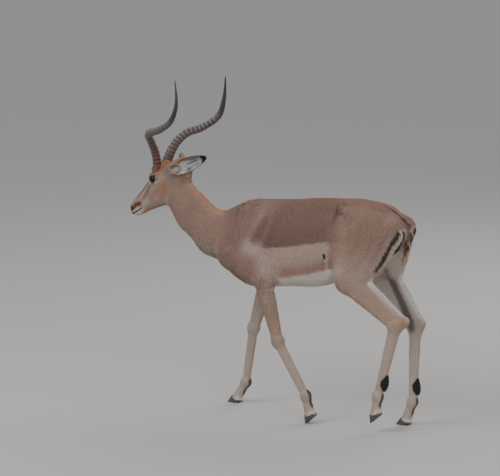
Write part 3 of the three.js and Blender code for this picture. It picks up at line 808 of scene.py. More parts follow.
def trunk_colour(points, normals):
    """Neck, saddle, pale flank, white belly and rump, each laid on with soft edges, with painted
    shade at the base of the neck and a painted shadow and highlight along each hip crest.
    """
    x, y, z = points.T
    ay = np.abs(y)
    mirrored = np.stack([x, ay, z], 1)
    ragged = mottle(points, 2.2, 3) * 3 + mottle(points, 6, 4) * 3
    out_of_neck = fall(x, -130, -60)
    top = soft(normals[:, 2] + 0.45 * normals[:, 0], 0.5, 1.05)
    throat = soft(-normals[:, 2] - 0.5 * normals[:, 0], 0.1, 0.8)
    brisket = bell(np.hypot(x + 120, z - 690), 0, 70) * fall(normals[:, 2], -0.6, 0.1)
    # a line along the base of the neck, where painted shade is laid on
    shoulder, _ = along_line(mirrored, [(-50, 70, 850), (-88, 66, 780)])
    low = SADDLE_LOW(x) + ragged * 0.6
    behind = soft(x - SADDLE_FRONT(z) - 30 * soft(z, 780, 870), -52, 40)
    saddle = behind * soft(z - low, -6, 5) * (1 - 0.85 * soft(x, 375, 480))
    flank = soft(x, 90, 190) * soft(low - z, -6, 7) * (1 - soft(x, 398, 425))
    belly = BELLY_LINE(x) + ragged * 0.5
    middle = soft(x, 150, 185) * (1 - soft(x, 405, 440))
    elbow, _ = along_line(np.stack([x, np.full(len(x), 110.0), z], 1),
                          [(44, 110, 700), (84, 110, 694), (112, 110, 660), (140, 110, 610)])
    pale = np.maximum(middle * soft(belly - z, -4, 5),
                      fall(normals[:, 2], -0.9, -0.55) * fall(z, 600, 640) * soft(x, -40, 60))
    spot = np.abs(x - 395) / 8 + np.abs(z - 696) / 17
    outer = soft(ay, 60, 80)
    # the hip crest: a painted shadow along it and a painted highlight just behind it
    hip, share = along_line(mirrored, HIP_CREST)
    hip_crest_lit_gap, _ = along_line(mirrored - [15, 0, 0], HIP_CREST)
    colour = layered(
        SHOULDER,
        (NECK, fall(x, -150, -70)),
        (NAPE, 0.9 * out_of_neck * top),
        (THROAT, out_of_neck * throat),
        (THROAT, 0.8 * brisket),
        # painted shade at the base of the neck
        (UNDER_FLANK, 0.45 * fall(shoulder, 10, 48)),
        (THIGH, soft(x, 385, 470)),
        (THIGH_LOW, soft(x, 400, 460) * fall(z, 610, 760)),
        (FLANK, flank),
        (SADDLE, saddle),
        (SADDLE * 0.72, 0.85 * saddle * bell(z - low, 0, 70) * bell(x, 170, 160)),
        (RIDGE, 0.6 * soft(normals[:, 2], 0.75, 0.98) * soft(z, 850, 890)),
        (UNDER_FLANK, middle * bell(z, belly + 16, 26) * 0.6),
        (ELBOW, 0.62 * fall(elbow, 0, 62) * soft(ay, 50, 90)),
        (BELLY, pale),
        (ELBOW, 0.8 * fall(spot, 1.2, 1.9) * outer),
        (BLACK, fall(spot, 0.9, 1.15) * outer),
        # painted shadow along the hip crest
        (SADDLE * 0.66, 0.6 * bell(hip, 0, 14) * soft(share, 0, 0.3)),
        # painted highlight just behind the hip crest
        (RIDGE, 0.5 * bell(hip_crest_lit_gap, 0, 10)),
    )
    return rump_colour(colour, points, normals, ragged)


def gland_place(points, leg):
    """Distance from the gland's line, made larger towards its ends, so that equal values lie on
    an oval."""
    gap, share = along_line(points, gland_line(leg))
    return gap + 8 * (2 * share - 1) ** 2


def buttock_turn(points):
    """Degrees round the buttock's own line, from straight out sideways towards the tail."""
    x, y, z = points.T
    crease = np.where(y < 0, HIND[0]["crease"][0], HIND[1]["crease"][0])
    top_x, top_y, top_z = BUTTOCK_TOP
    t = np.clip((top_z - z) / BUTTOCK_FALL, 0, 1.3)
    turn = np.degrees(np.arctan2(x - mix(top_x, crease + BUTTOCK_END[0], t),
                                 np.abs(y) - mix(top_y, BUTTOCK_END[1], t)))
    return np.where(turn < -90, turn + 360, turn)


def rump_colour(colour, points, normals, ragged):
    """The black stripe, cream band and dark crevice that run down each buttock, in degrees
    round the buttock's own line, and the pale inner thigh. The crevice is dark bare skin with
    painted shadow beside the tail, and the groin between the hind legs gets painted shade."""
    x, y, z = points.T
    ay = np.abs(y)
    turn = buttock_turn(points)
    rear = soft(x, 520, 560)
    close = 9 * soft(z, 786, 822)
    stripe = STRIPE(z) + close * 0.4
    inside = INSIDE(z) - close
    cream = rear * soft(turn, stripe + 6, stripe + 9) * soft(z, 628, 650) * fall(z, 818, 828)
    black = soft(turn + ragged, stripe - 15, stripe - 4) * fall(turn, stripe + 7, stripe + 10)
    # the crevice beside the tail: dark bare skin, with painted shadow between tail and buttock
    crevice_skin_and_shade = soft(turn, inside - 7, inside - 2) * fall(turn, inside + 20, inside + 30)
    inner = soft(turn, inside + 22, inside + 32) * fall(z, 815, 835)
    thigh = soft(-normals[:, 1] * np.sign(y), -0.1, 0.35) * soft(x, 430, 520) * fall(z, 680, 720)
    # painted shade in the groin between the hind legs
    shade = fall(ay, 8, 30) * fall(z, 640, 700) * soft(x, 480, 560)
    croup = soft(x, 560, 640) * soft(-ay + 0.5 * ragged, -9, -5) * soft(z, 840, 850)
    return layered(
        colour,
        (THIGH_LOW, 0.8 * rear * bell(turn, stripe - 22, 14) * fall(z, 780, 830)),
        (CREAM, cream),
        (BLACK, rear * black * soft(z, 640, 664) * fall(z, 810, 824)),
        (WHITE, 0.8 * cream * soft(turn, inside - 22, inside - 6)),
        # dark bare skin and painted shadow in the crevice beside the tail
        (BLACK, rear * crevice_skin_and_shade * soft(z, 690, 735) * fall(z, 814, 824)),
        (INNER, rear * inner),
        (INNER, thigh),
        # painted shade between the hind legs
        (GREY, 0.6 * shade),
        (tone(70, 52, 46), 0.85 * croup),
    )


def leg_colour(colour, points, normals):
    """Tan in front and outside, pale inside and low down, with dark streaks at the back."""
    x, y, z = points.T
    for leg, _ in LEGS:
        fore = "elbow" in leg
        near = (np.sign(y) == leg["side"]) & (z < (560 if fore else 640))
        near &= (x < 340) if fore else (x > 440)
        p, (nx, ny, nz) = points[near], normals[near].T
        inward = -ny * leg["side"]
        upper, lower = (bone(leg, key, 0) for key in leg["bones"][1:3])
        down = unit(lower - upper)
        back = np.cross(down, ACROSS)
        rear = nx * back[0] + nz * back[2]
        start = fall(p[:, 2], 500, 560) if fore else fall(p[:, 2], 560, 640)
        here = layered(
            colour[near],
            (LEG, 0.9 * start),
            (LEG_PALE, fall(p[:, 2], upper[2] - 60, upper[2] + 40) * 0.75),
            (INNER, start * soft(inward, 0.15, 0.6) * 0.9),
        )
        if not fore:
            point = bone(leg, "point", HIND_Y)
            (crease_x, crease_z), (stifle_x, stifle_z) = leg["crease"], leg["stifle"]
            tendon, _ = along_line(p, [(crease_x + 8, leg["side"] * 80, crease_z),
                                       point + [-4, 0, 6]])
            grey, _ = along_line(p, [
                (crease_x - 50, leg["side"] * 60, crease_z + 34),
                (stifle_x + 125, leg["side"] * 70, stifle_z - 30),
                (leg["hock"][0] - 6, leg["side"] * 72, leg["hock"][1] + 6)])
            here = layered(
                here,
                (WHITE, 0.85 * fall(tendon, 18, 30) * soft(rear, -0.05, 0.45)
                 * soft(p[:, 2], upper[2] + 10, upper[2] + 40)),
                (ORANGE, 0.4 * bell(np.linalg.norm(p - point, axis=1), 6, 24)),
                (BLACK, fall(gland_place(p, leg), 16, 21)),
                (tone(84, 80, 84), 0.85 * fall(grey, 7, 24) * soft(inward, 0.1, 0.6)),
            )
        foot, fetlock = bone(leg, "coronet", FOOT_Y), bone(leg, "fetlock", FOOT_Y)
        above = (p - foot) @ leg["hair_normal"]
        streak, _ = along_line(p, [fetlock + back * 18 - down * 10,
                                   mix(fetlock, foot, 0.55) + back * 20])
        colour[near] = layered(
            here,
            (tone(58, 42, 36), 0.85 * fall(streak, 8, 15) * soft(rear, 0.1, 0.6)),
            (WHITE, fall(above, 12, 30) * soft(rear, -0.3, 0.5)),
            (GREY * 0.5, 0.5 * fall(above, 2, 7)),
        )
    return colour


# The face's blots, laid on in this order: colour, path of (u, v, |y|), radius, weight.
BROW_BLOTS = [
    (tone(172, 128, 104), [(92, -62, 50), (134, -46, 44)], 24, 0.8),
    (tone(166, 144, 130), [(150, -70, 38), (120, -95, 20)], 20, 0.6),
    (THROAT, [(60, -100, 20), (170, -96, 10)], 22, 0.5),
    (RUST, [(20, 4, 20), (60, 20, 10), (95, 24, 6)], 26, 0.95),
    (RUST, [(50, 6, 42), (68, -2, 44)], 11, 0.9),
    (tone(205, 152, 112), [(-20, -18, 10), (12, 2, 20)], 22, 0.9),
    (tone(164, 154, 146), [(62, -24, 48), (100, -28, 52), (128, -28, 44), (150, -26, 38)], 11, 0.7),
    (tone(140, 136, 134), [(18, -26, 46), (40, -50, 50)], 18, 0.85),
    (tone(104, 98, 96), [(86, 15, 46), (94, 21, 38)], 8, 0.8),
    (WHITE, [(124, 10, 40), (137, 9, 33)], 8, 0.95),
    (WHITE, [(118, -20, 50), (92, -24, 54)], 3.5, 0.6),
    (tone(176, 168, 160), [(137, 6, 34), (176, 2, 30), (214, -2, 27)], 5, 0.8),
    (tone(122, 94, 78), [(150, -8, 37), (176, -12, 33), (206, -14, 29)], 7, 0.65),
]
MUZZLE_BLOTS = [
    (tone(168, 158, 150), [(205, -38, 29), (250, -34, 25)], 12, 0.9),
    (tone(84, 60, 50), [(284, -8, 21), (262, -6, 24), (243, -17, 26)], 9, 0.95),
    (tone(200, 192, 182), [(296, -14, 14), (282, -19, 21), (262, -26, 24)], 5, 0.75),
    (tone(206, 204, 200), [(292, -36, 8), (276, -44, 15), (262, -46, 18)], 13, 0.95),
    (ORANGE, [(264, -54, 10), (236, -64, 10)], 9, 0.85),
]


def blots(colour, spots, table):
    """A table's blots, each with an edge that fades from half to one and a half its radius."""
    return layered(colour, *(
        (shade, weight * fall(along_line(spots, path)[0], radius * 0.5, radius * 1.5))
        for shade, path, radius, weight in table))


def face_colour(colour, points):
    """The head's markings, by its own coordinates, and the ears' pale roots with painted shade in
    their grooves.
    """
    u, v, y = head_place(points)
    ay = np.abs(y)
    spots = np.stack([u, v, ay], 1)
    rough = mottle(points, 1.6, 8) * 1.5
    blaze = soft(u, 112, 132) * fall(u, 236, 262) * soft(v + rough, 6, 12)
    blaze = blaze * soft(BLAZE(u) - ay - rough, 0, 8)
    pad = soft(u, 290, 296) * soft(v, -12, -7) + fall(np.hypot(u - 288, (v - 2) * 0.7), 5.5, 8)
    lip = fall(np.abs(v - LIP(u)), 1.6, 3.2) * soft(u, 242, 250)
    face = blots(tone(166, 136, 120), spots, BROW_BLOTS)
    face = layered(face, (tone(84, 58, 48), 0.95 * blaze),
                   (RUST, 0.7 * soft(u, 205, 240) * soft(v, -6, 2) * (1 - blaze)))
    face = layered(blots(face, spots, MUZZLE_BLOTS), (BLACK, pad), (tone(46, 38, 36), lip))
    for side in (LEFT, RIGHT):
        p, q, out = eye_place(points, side)
        rim = leaf(p + 1, q - 0.4, LIDS["wide"], LIDS["high"])
        face = layered(face, (BLACK, fall(rim, 1.8, 3.2) * soft(out, 0, 4)))
    colour = layered(colour, (face, soft(u, -30, 15) * fall(points[:, 0], -345, -318)))
    for ear in EARS:
        root, length, front, across, _ = ear_axes(ear)
        gap, _ = along_line(points, [root + 2 * length + 14 * front, root + 26 * length + 5 * front])
        near = fall(gap, 12, 18)
        # painted shade in the grooves of the ears' roots
        groove_shade = soft(np.cos(((points - root) @ across) * 0.75 + 1), 0.2, 0.9)
        colour = layered(colour, (INNER, 0.9 * near), (GREY, 0.6 * groove_shade * near))
    return colour


def tail_colour(colour, points):
    """Tan, with a broken black line down the back and a pale edge and tip."""
    x, y, z = points.T
    on = soft(x - line((640, 700, 760, 800, 840, 870), (677, 683, 694, 698, 686, 672))(z), -3, 4)
    on = on * fall(np.abs(y), 20, 24)
    broken = soft(np.sin(z / 9.5) + 0.6 * np.sin(z / 4.1), -1.2, -0.3)
    dark = fall(np.abs(y + 7 - 1.5 * np.sin(z / 17)), 2, 4.5) * broken * soft(z, 716, 740)
    pale = np.maximum(bell(y, 3, 4) * fall(z, 812, 832), fall(z, 690, 712))
    return layered(colour, (tone(158, 124, 102), on), (BLACK, 0.9 * on * dark),
                   (tone(222, 190, 158), 0.9 * on * pale))


def body_colour(points, normals):
    """The whole coat's colour, used for the skin and for each tuft."""
    colour = trunk_colour(points, normals)
    colour = leg_colour(colour, points, normals)
    colour = face_colour(colour, points)
    colour = tail_colour(colour, points)
    shade = 1 + 0.05 * mottle(points, 28, 1) + 0.04 * mottle(points, 9, 2)
    return np.clip(colour * shade[:, None], 0, 1)


def ear_colour(t, s, inside):
    """Tan backs with a black rim and tip; white hair inside, with painted shade along its folds and
    in its hollow, and a dark spot.
    """
    back = layered(tone(178, 128, 94),
                   (tone(120, 96, 78), 0.6 * soft(np.abs(s), 0.5, 0.9)))
    # painted shade on one side of each fold inside the ear
    fold_shade = soft(np.cos(s * 13 + 0.8), 0.25, 0.8) * soft(t, 0.3, 0.45) * fall(t, 0.72, 0.86)
    front = layered(
        tone(214, 210, 206),
        (tone(112, 96, 90), 0.75 * fold_shade),
        (tone(150, 116, 92), fall(s, -0.78, -0.5) * soft(t, 0.15, 0.3)),
        # painted shade in the hollow of the ear
        (tone(84, 74, 70), 0.7 * bell(s, -0.42, 0.13) * soft(t, 0.4, 0.6)),
        (BLACK, 0.9 * bell(t, 0.42, 0.07) * bell(s, 0.62, 0.22)),
        (tone(118, 104, 98), 0.6 * bell(t, 0.62, 0.1) * bell(s, -0.3, 0.4)),
    )
    rim = soft(np.abs(s), 0.84, 0.95) * np.where(s < 0, 1, 0.6) * soft(t, 0.25, 0.45)
    return layered(back, (front, inside), (tone(52, 44, 42), 0.9 * rim),
                   (BLACK, soft(t, 0.80, 0.86)))


def rooted(colours, t):
    """An ear's colours, which start from the head's grey tan at its root."""
    return mix(tone(156, 140, 128), colours, soft(t, 0.12, 0.26)[:, None])


# ------------------------------------------------------------ the lie of the coat
def leg_flow(points, leg):
    """The hair's direction on a leg: back and down over its top, then along the bones."""
    path = [bone(leg, key, 0) for key in leg["bones"]]
    flow = np.tile([0.42, 0.0, -1.0], (len(points), 1))
    for a, b in zip(path, path[1:]):
        flow = mix(flow, unit(b - a), fall(points[:, 2], a[2] - 25, a[2] + 25)[:, None])
    if "stifle" in leg:
        behind = soft(points[:, 0], leg["stifle"][0], leg["stifle"][0] + 120)
        behind = behind * soft(points[:, 2], path[1][2] + 20, path[0][2] + 60)
        flow = flow + behind[:, None] * [0.5, 0, -0.6]
    return flow


def lie(points, normals):
    """The way the hair lies: each part's own direction, weighted by exp(-distance / 9) and laid
    flat on the skin, with slow waves of up to about 12 degrees."""
    u, v, y = head_place(points)
    flows = [(tube_field(TRUNK_DENSE, points[:, 0], points[:, 2], y), np.array([1.0, 0, -0.42]))]
    for a, b, ra, rb, flat in NECK_RODS:
        flows.append((rod_field(points, a, b, ra, rb, flat) + 2,
                      unit(a - b) + [0.1, 0, -0.25]))
    for leg, rods in LEGS:
        flows.append((leg_field(points, leg, rods), leg_flow(points, leg)))
    back = -HEAD_DOWN - HEAD_UP * (0.5 * fall(v, -60, -10))[:, None]
    flows.append((tube_field(HEAD_DENSE, u, v, y) - 6 * soft(u, 30, 60), back))
    for a, b, ra, rb, flat in TAIL_RODS:
        flows.append((rod_field(points, a, b, ra, rb, flat) - 2, unit(b - a)))
    total = np.zeros((len(points), 3))
    for value, flow in flows:
        total += np.exp(-np.clip(value, -18, 90) / 9)[:, None] * unit(flow)
    total = total - normals * np.einsum("ij,ij->i", total, normals)[:, None]
    total = unit(total + 1e-6)
    across = np.cross(normals, total)
    sway = 0.32 * mottle(points, 22, 11) + 0.2 * mottle(points, 7, 12)
    return unit(total + across * sway[:, None])


# ------------------------------------------------------------ tufts
PATCH = 0.003  # the width of a tuft's own patch of its chart
SINK = 0.8  # how far each root lies under the skin


def tuft_mesh(name, roots, normals, flows, length, width, lift, colours, chart, rng,
              rings=((0.42, 1.0),), droop=0.0, splay=0.16):
    """Each tuft is a thin solid spindle: a point under the skin, one or more three-sided rings
    and a tip. It leaves the skin steeply and then runs flat: height = lift x (1 - (1 - s)^2)."""
    n = len(roots)
    across = np.cross(normals, flows)
    turn = rng.normal(size=n) * splay
    flows = unit(flows + across * turn[:, None])
    across = np.cross(normals, flows)
    length = length * rng.uniform(0.78, 1.22, n)
    width = width * rng.uniform(0.8, 1.2, n)
    lift = lift * rng.uniform(0.6, 1.5, n)
    curl = rng.normal(size=n) * 0.1 * length

    def centre(share):
        """The tuft's middle line at a share of its length."""
        rise = lift * (1 - (1 - share) ** 2) - SINK * (1 - share)
        point = roots + flows * (length * share)[:, None] + normals * rise[:, None]
        point = point + across * (curl * share ** 2)[:, None]
        return point - np.array([0, 0, 1.0]) * (droop * length * share ** 2)[:, None]
    ends = np.ones(n)
    levels, spread = [centre(0 * ends)[:, None]], [np.zeros((1, 2))]
    for share, wide in rings:
        middle = centre(share * ends)
        half = (width * wide / 2)[:, None]
        levels.append(np.stack([middle - across * half, middle + across * half,
                                middle + normals * half * 0.35], 1))
        spread.append(np.array([[share, -1], [share, 1], [share, 0.0]]))
    levels.append(centre(ends)[:, None])
    spread.append(np.array([[1.0, 0]]))
    points = np.concatenate(levels, 1)
    spread = np.concatenate(spread)
    spread[0] = [0, 0]
    per = points.shape[1]
    faces = [(0, 2, 1), (0, 3, 2), (0, 1, 3)]
    for k in range(len(rings) - 1):
        a, b = 1 + 3 * k, 4 + 3 * k
        for i, j in ((0, 1), (1, 2), (2, 0)):
            faces += [(a + i, a + j, b + j), (a + i, b + j, b + i)]
    a = 1 + 3 * (len(rings) - 1)
    faces += [(a, a + 1, per - 1), (a + 1, a + 2, per - 1), (a + 2, a, per - 1)]
    faces = np.array(faces)
    triangles = (np.arange(n)[:, None, None] * per + faces[None]).reshape(-1, 3)
    obj = outward(make_mesh(name, points.reshape(-1, 3), [triangles]))
    # painted shade: each tuft is darker at its root, where the coat shades it, and a little lighter
    # towards its tip
    shade = mix(0.9, 1.05, spread[:, 0])
    full = colours[:, None, :] * shade[None, :, None]
    paint_points(obj.data, np.clip(full.reshape(-1, 3), 0, 1))
    patch = np.stack([spread[:, 0] - 0.5, spread[:, 1] * 0.4], 1) * PATCH
    place = (chart[:, None, :] + patch[None]).reshape(-1, 2)
    corner = read(obj.data.loops, "vertex_index", 1, np.int32)
    obj.data.uv_layers.new(name="OFBake").data.foreach_set(
        "uv", place[corner].astype(np.float32).ravel())
    return obj


def spread_out(values):
    """Values spread from 0.01 to 0.99 between their ends."""
    low, high = values.min(), values.max()
    return 0.01 + 0.98 * (values - low) / max(high - low, 1e-6)


def chart_round(points, axis, middle, upward=(0, 0, 1.0)):
    """An unwrap of a tube: the way along the axis, and the angle round it."""
    axis = unit(np.array(axis, float))
    off = points - np.array(middle, float)
    top = unit(np.array(upward) - axis * (np.array(upward) @ axis))
    flank = np.cross(axis, top)
    angle = np.arctan2(off @ flank, off @ top)
    return np.stack([spread_out(off @ axis), spread_out(angle)], 1)


def sample(points, normals, tris, density, rng):
    """Seeded roots spread evenly over the triangles, density of them to the square centimetre."""
    a, b, c = (points[tris[:, n]] for n in range(3))
    area = np.linalg.norm(np.cross(b - a, c - a), axis=1) / 2
    wanted = area / 100 * density
    count = int(wanted.sum())
    even = (np.arange(count) + rng.uniform(size=count)) / count * wanted.sum()
    pick = np.minimum(np.searchsorted(np.cumsum(wanted), even), len(tris) - 1)
    s, t = rng.uniform(size=(2, len(pick)))
    over = s + t > 1
    s, t = np.where(over, 1 - s, s), np.where(over, 1 - t, t)
    weights = np.stack([1 - s - t, s, t], 1)
    roots = np.einsum("nk,nkc->nc", weights, points[tris[pick]])
    out = unit(np.einsum("nk,nkc->nc", weights, normals[tris[pick]]))
    return roots, out


def jitter(colours, rng, amount=0.05):
    """Colours a little lighter or darker from tuft to tuft."""
    return np.clip(colours * (1 + rng.normal(size=(len(colours), 1)) * amount), 0, 1)


def region(points):
    """Which piece of the coat each point belongs to, by number in COATS: the first that fits of
    head, tail, hind legs, fore legs and neck, then the trunk's halves from front to back."""
    x, y, z = points.T
    u, _, _ = head_place(points)
    right = (y >= 0).astype(int)
    return np.select(
        [(u > -24) & (x < -318), (x > 700) & (z > 620) & (np.abs(y) < 24),
         (z < 560) & (x > 430), (z < 545) & (x < 345), x < -110, x < 165, x < 400],
        [0, 10, 9, 8, 1, 2 + right, 4 + right], 6 + right)


# name, tufts to the square centimetre, chart axis, chart middle
COATS = [
    ("coat_head", 27, tuple(HEAD_DOWN), tuple(in_head(100, -45, 0))),
    ("coat_neck", 16, (-0.75, 0, 0.66), (-200, 0, 760)),
    ("coat_chest_left", 14, (1, 0, 0), (40, 0, 720)),
    ("coat_chest_right", 14, (1, 0, 0), (40, 0, 720)),
    ("coat_barrel_left", 14, (1, 0, 0), (280, 0, 740)),
    ("coat_barrel_right", 14, (1, 0, 0), (280, 0, 740)),
    ("coat_haunch_left", 14, (0.4, 0, -1), (590, -40, 740)),
    ("coat_haunch_right", 14, (0.4, 0, -1), (590, 40, 740)),
    ("coat_fore_legs", 18, (0, 0, -1), (120, 0, 300)),
    ("coat_hind_legs", 15, (0, 0, -1), (660, 0, 300)),
    ("coat_tail", 16, (0, 0, -1), (712, 0, 760)),
]


def bare(points):
    """Where no hair grows: the nose pad, the lips' edge, the nostrils and the open eyes."""
    u, v, y = head_place(points)
    pad = (u > 286) & (v < 14) & (v > -14) & ((np.abs(y) > 8) | (u > 292))
    lips = (u > 244) & (np.abs(v - LIP(u)) < 2.6)
    shut = pad | lips
    for side in (LEFT, RIGHT):
        p, q, out = eye_place(points, side)
        shut |= (leaf(p + 1, q - 0.4, LIDS["wide"], LIDS["high"]) < 2.2) & (out > 0)
    return shut


def hair_size(points):
    """Length, width and lift of the short coat in mm: longest under the trunk, least on the face
    and feet."""
    x, _, z = points.T
    u, _, _ = head_place(points)
    face = soft(u, -20, 60) * fall(x, -345, -318)
    legs = fall(z, 330, 600)
    length = mix(mix(14.5, 8.0, legs), mix(9.5, 5.0, soft(u, 40, 230)), face)
    belly = fall(z, 560, 640) * soft(x, -140, 60) * (1 - soft(x, 440, 500)) * (1 - legs * 0.6)
    brisket = bell(np.hypot(x + 130, z - 690), 0, 70)
    length = length + 5 * belly + 3 * brisket
    width = mix(mix(2.5, 1.7, legs), mix(1.8, 1.2, soft(u, 40, 230)), face)
    lift = mix(mix(2.3, 1.5, legs), mix(1.3, 0.7, soft(u, 40, 200)), face) + 1.2 * belly + brisket
    return length, width, lift


def skin_arrays(skin, count):
    """The body skin's points, normals and triangles, without the ears, which come after the
    first count vertices."""
    mesh = skin.data
    mesh.calc_loop_triangles()
    points = read(mesh.vertices, "co", 3).astype(float) * 1000 - SHIFT
    normals = read(mesh.vertices, "normal", 3).astype(float)
    tris = read(mesh.loop_triangles, "vertices", 3, np.int32)
    return points, normals, tris[tris.max(1) < count]


def dress(points, normals, tris):
    """The short coat over the whole skin, in one piece to each region."""
    sort = region(points[tris].mean(1))
    pieces = []
    for n, (name, density, axis, middle) in enumerate(COATS):
        rng = np.random.default_rng(100 + n)
        roots, out = sample(points, normals, tris[sort == n], density, rng)
        keep = ~bare(roots) & (roots[:, 2] > 12)
        roots, out = roots[keep], out[keep]
        flows = lie(roots, out)
        length, width, lift = hair_size(roots)
        along = (rng.uniform(0, 0.45, len(roots)) * length)[:, None] * flows
        colours = jitter(body_colour(roots + along, out), rng)
        if name == "coat_tail":
            length = length * 1.7
        chart = chart_round(roots, axis, middle)
        if name in ("coat_fore_legs", "coat_hind_legs"):
            side = np.sign(roots[:, 1])
            angle = np.arctan2(roots[:, 1] - FORE_Y * side, roots[:, 0] - leg_middle(roots))
            chart[:, 1] = np.where(side < 0, 0.02, 0.52) + 0.46 * (angle + math.pi) / (2 * math.pi)
        obj = tuft_mesh(name, roots, out, flows, length, width, lift, colours, chart, rng,
                        rings=((0.3, 1.0), (0.7, 0.7)) if name == "coat_tail" else ((0.42, 1.0),),
                        splay=0.1)
        pieces.append(obj)
    return pieces


def leg_middle(points):
    """The x of the bones of the leg that a point is on, by its height."""
    x, y, z = points.T
    middle = np.zeros(len(points))
    for leg, _ in LEGS:
        on = (np.sign(y) == leg["side"]) & ((x < 345) == ("elbow" in leg))
        bone_x, bone_z = zip(*(leg[key] for key in leg["bones"]))
        middle[on] = line(bone_z, bone_x)(z[on])
    return middle


def long_hair(points, normals, tris):
    """Longer locks: the tail's brush, the scent glands' black tufts, the pale hair of the
    buttocks' edge and thighs, the belly's fringe and the heels."""
    middle = points[tris].mean(1)
    x, y, z = middle.T
    ay = np.abs(y)
    spots = []
    tail = (x > line((640, 700, 760, 800, 840), (677, 685, 696, 702, 696))(z)) & (ay < 24)
    tail &= (z > 650) & (z < 832)
    spots.append(("tail_brush", tail, 28, 20, 1.8, 1.0, 0.05, (706, 0, 755)))
    gland = np.minimum(*(gland_place(middle, leg) for leg in HIND)) < 18
    spots.append(("gland_tufts", gland, 60, 17, 2.0, 8.0, 0.1, (690, 0, 200)))
    heel = np.zeros(len(middle), bool)
    for leg, _ in LEGS:
        foot = bone(leg, "coronet", FOOT_Y)
        above = (middle - foot) @ leg["hair_normal"]
        heel |= (above < 14) & (above > -6) & (np.linalg.norm(middle - foot, axis=1) < 40)
    spots.append(("heel_hair", heel, 36, 11, 1.6, 1.6, 0.1, (300, 0, 50)))
    under = (BELLY_LINE(x) - z > -14) & (x > 20) & (x < 440) & (z > 500) & (ay < 118)
    spots.append(("belly_fringe", under, 3, 22, 2.0, 3.5, 0.1, (230, 0, 620)))
    turn = buttock_turn(middle)
    rump = (x > 560) & (z > 640) & (z < 822) & (turn > STRIPE(z) - 12) & (turn < 150) & (ay > 16)
    spots.append(("buttock_hair", rump, 9, 17, 1.8, 2.6, 0.08, (640, 0, 720)))
    pieces = []
    for n, (name, where, density, length, width, lift, droop, centre) in enumerate(spots):
        rng = np.random.default_rng(200 + n)
        roots, out = sample(points, normals, tris[where], density, rng)
        flows = lie(roots, out)
        along = (rng.uniform(0, 0.5, len(roots)) * min(length, 18))[:, None] * flows
        colours = jitter(body_colour(roots + along, out), rng)
        ends = np.ones(len(roots))
        if name == "gland_tufts":
            off = np.minimum(*(gland_place(roots, leg) for leg in HIND))
            ends = mix(1.25, 0.5, soft(off, 5, 18))
            colours = jitter(np.tile(tone(26, 23, 26), (len(roots), 1)), rng)
        if name == "tail_brush":
            ends = mix(0.7, 1.2, fall(roots[:, 2], 690, 830))
        chart = chart_round(roots, (0, 0, -1), centre, upward=(1.0, 0, 0))
        if name in ("gland_tufts", "heel_hair"):
            chart[:, 1] = np.where(roots[:, 1] < 0, 0.0, 0.5) + chart[:, 1] * 0.49
        pieces.append(tuft_mesh(name, roots, out, flows, length * ends, width + 0 * ends,
                                lift * ends, colours, chart, rng,
                                rings=((0.22, 0.9), (0.5, 1.0), (0.8, 0.6)), droop=droop,
                                splay=0.1 if name == "tail_brush" else 0.2))
    return pieces


# ------------------------------------------------------------ ears on the skin
SKIN_SHADE = 0.74  # the skin is painted this much darker than the hair over it, as shade between and under the tufts


def ear_grid(ring):
    """Share along, place across (-1 to 1) and whether it faces inside, for each ring vertex."""
    rows, sides, _ = ring.shape
    arc = sides // 2
    across = np.linspace(-1, 1, arc)
    t = np.repeat(np.linspace(0, 1, rows), sides)
    s = np.tile(np.concatenate([across, across[::-1]]), rows)
    inside = np.tile(np.repeat([0.0, 1.0], arc), rows)
    return t, s, inside


def build_skin():
    """The body's skin with both ears, as one mesh, with its markings stored at the vertices.
    Gives the skin, how many vertices are the body's, and the ears' rings."""
    points, corners, counts = body_skin()
    body = len(points)
    parts, corner_rows, count_rows, rings = [points], [corners], [counts], []
    first = body
    for ear in EARS:
        ring = ear_mesh(ear)
        spots, quads, tris = loft(ring)
        volume = sum((spots[f[:, 0]] * np.cross(spots[f[:, 1]], spots[f[:, 2]])).sum()
                     for f in (quads[:, :3], quads[:, [0, 2, 3]], tris))
        if volume < 0:
            quads, tris = quads[:, ::-1], tris[:, ::-1]
        parts.append(spots)
        for f in (quads, tris):
            corner_rows.append((f + first).ravel())
            count_rows.append(np.full(len(f), f.shape[1]))
        first += len(spots)
        rings.append(ring)
    points = np.concatenate(parts)
    skin = outward(make_mesh("skin", points,
                             (np.concatenate(corner_rows), np.concatenate(count_rows))))
    colours = body_colour(points, read(skin.data.vertices, "normal", 3).astype(float))
    start = body
    for ring, spots in zip(rings, parts[1:]):
        t, s, inside = ear_grid(ring)
        own = ear_colour(t, s, inside)
        stop = start + len(t)
        colours[start:stop] = rooted(own, t)
        colours[stop:stop + 2] = own[[0, -1]]
        start += len(spots)
    # the skin's colours darkened as painted shade under the tufts
    paint_points(skin.data, colours * SKIN_SHADE)
    return skin, body, list(zip(EARS, rings))


# The ears' hair: how many tufts, which way the surface faces, how far the hair sways across, its
# lift in mm, where its chart starts and the tufts' rings.
EAR_HAIR = {
    "outer": dict(count=3400, facing=1.0, sway=0.2, lift=0.9, chart=0.01, rings=((0.4, 1.0),)),
    "inner": dict(count=2600, facing=-1.0, sway=0.5, lift=2.4, chart=0.51,
                  rings=((0.25, 1.0), (0.65, 0.7))),
}


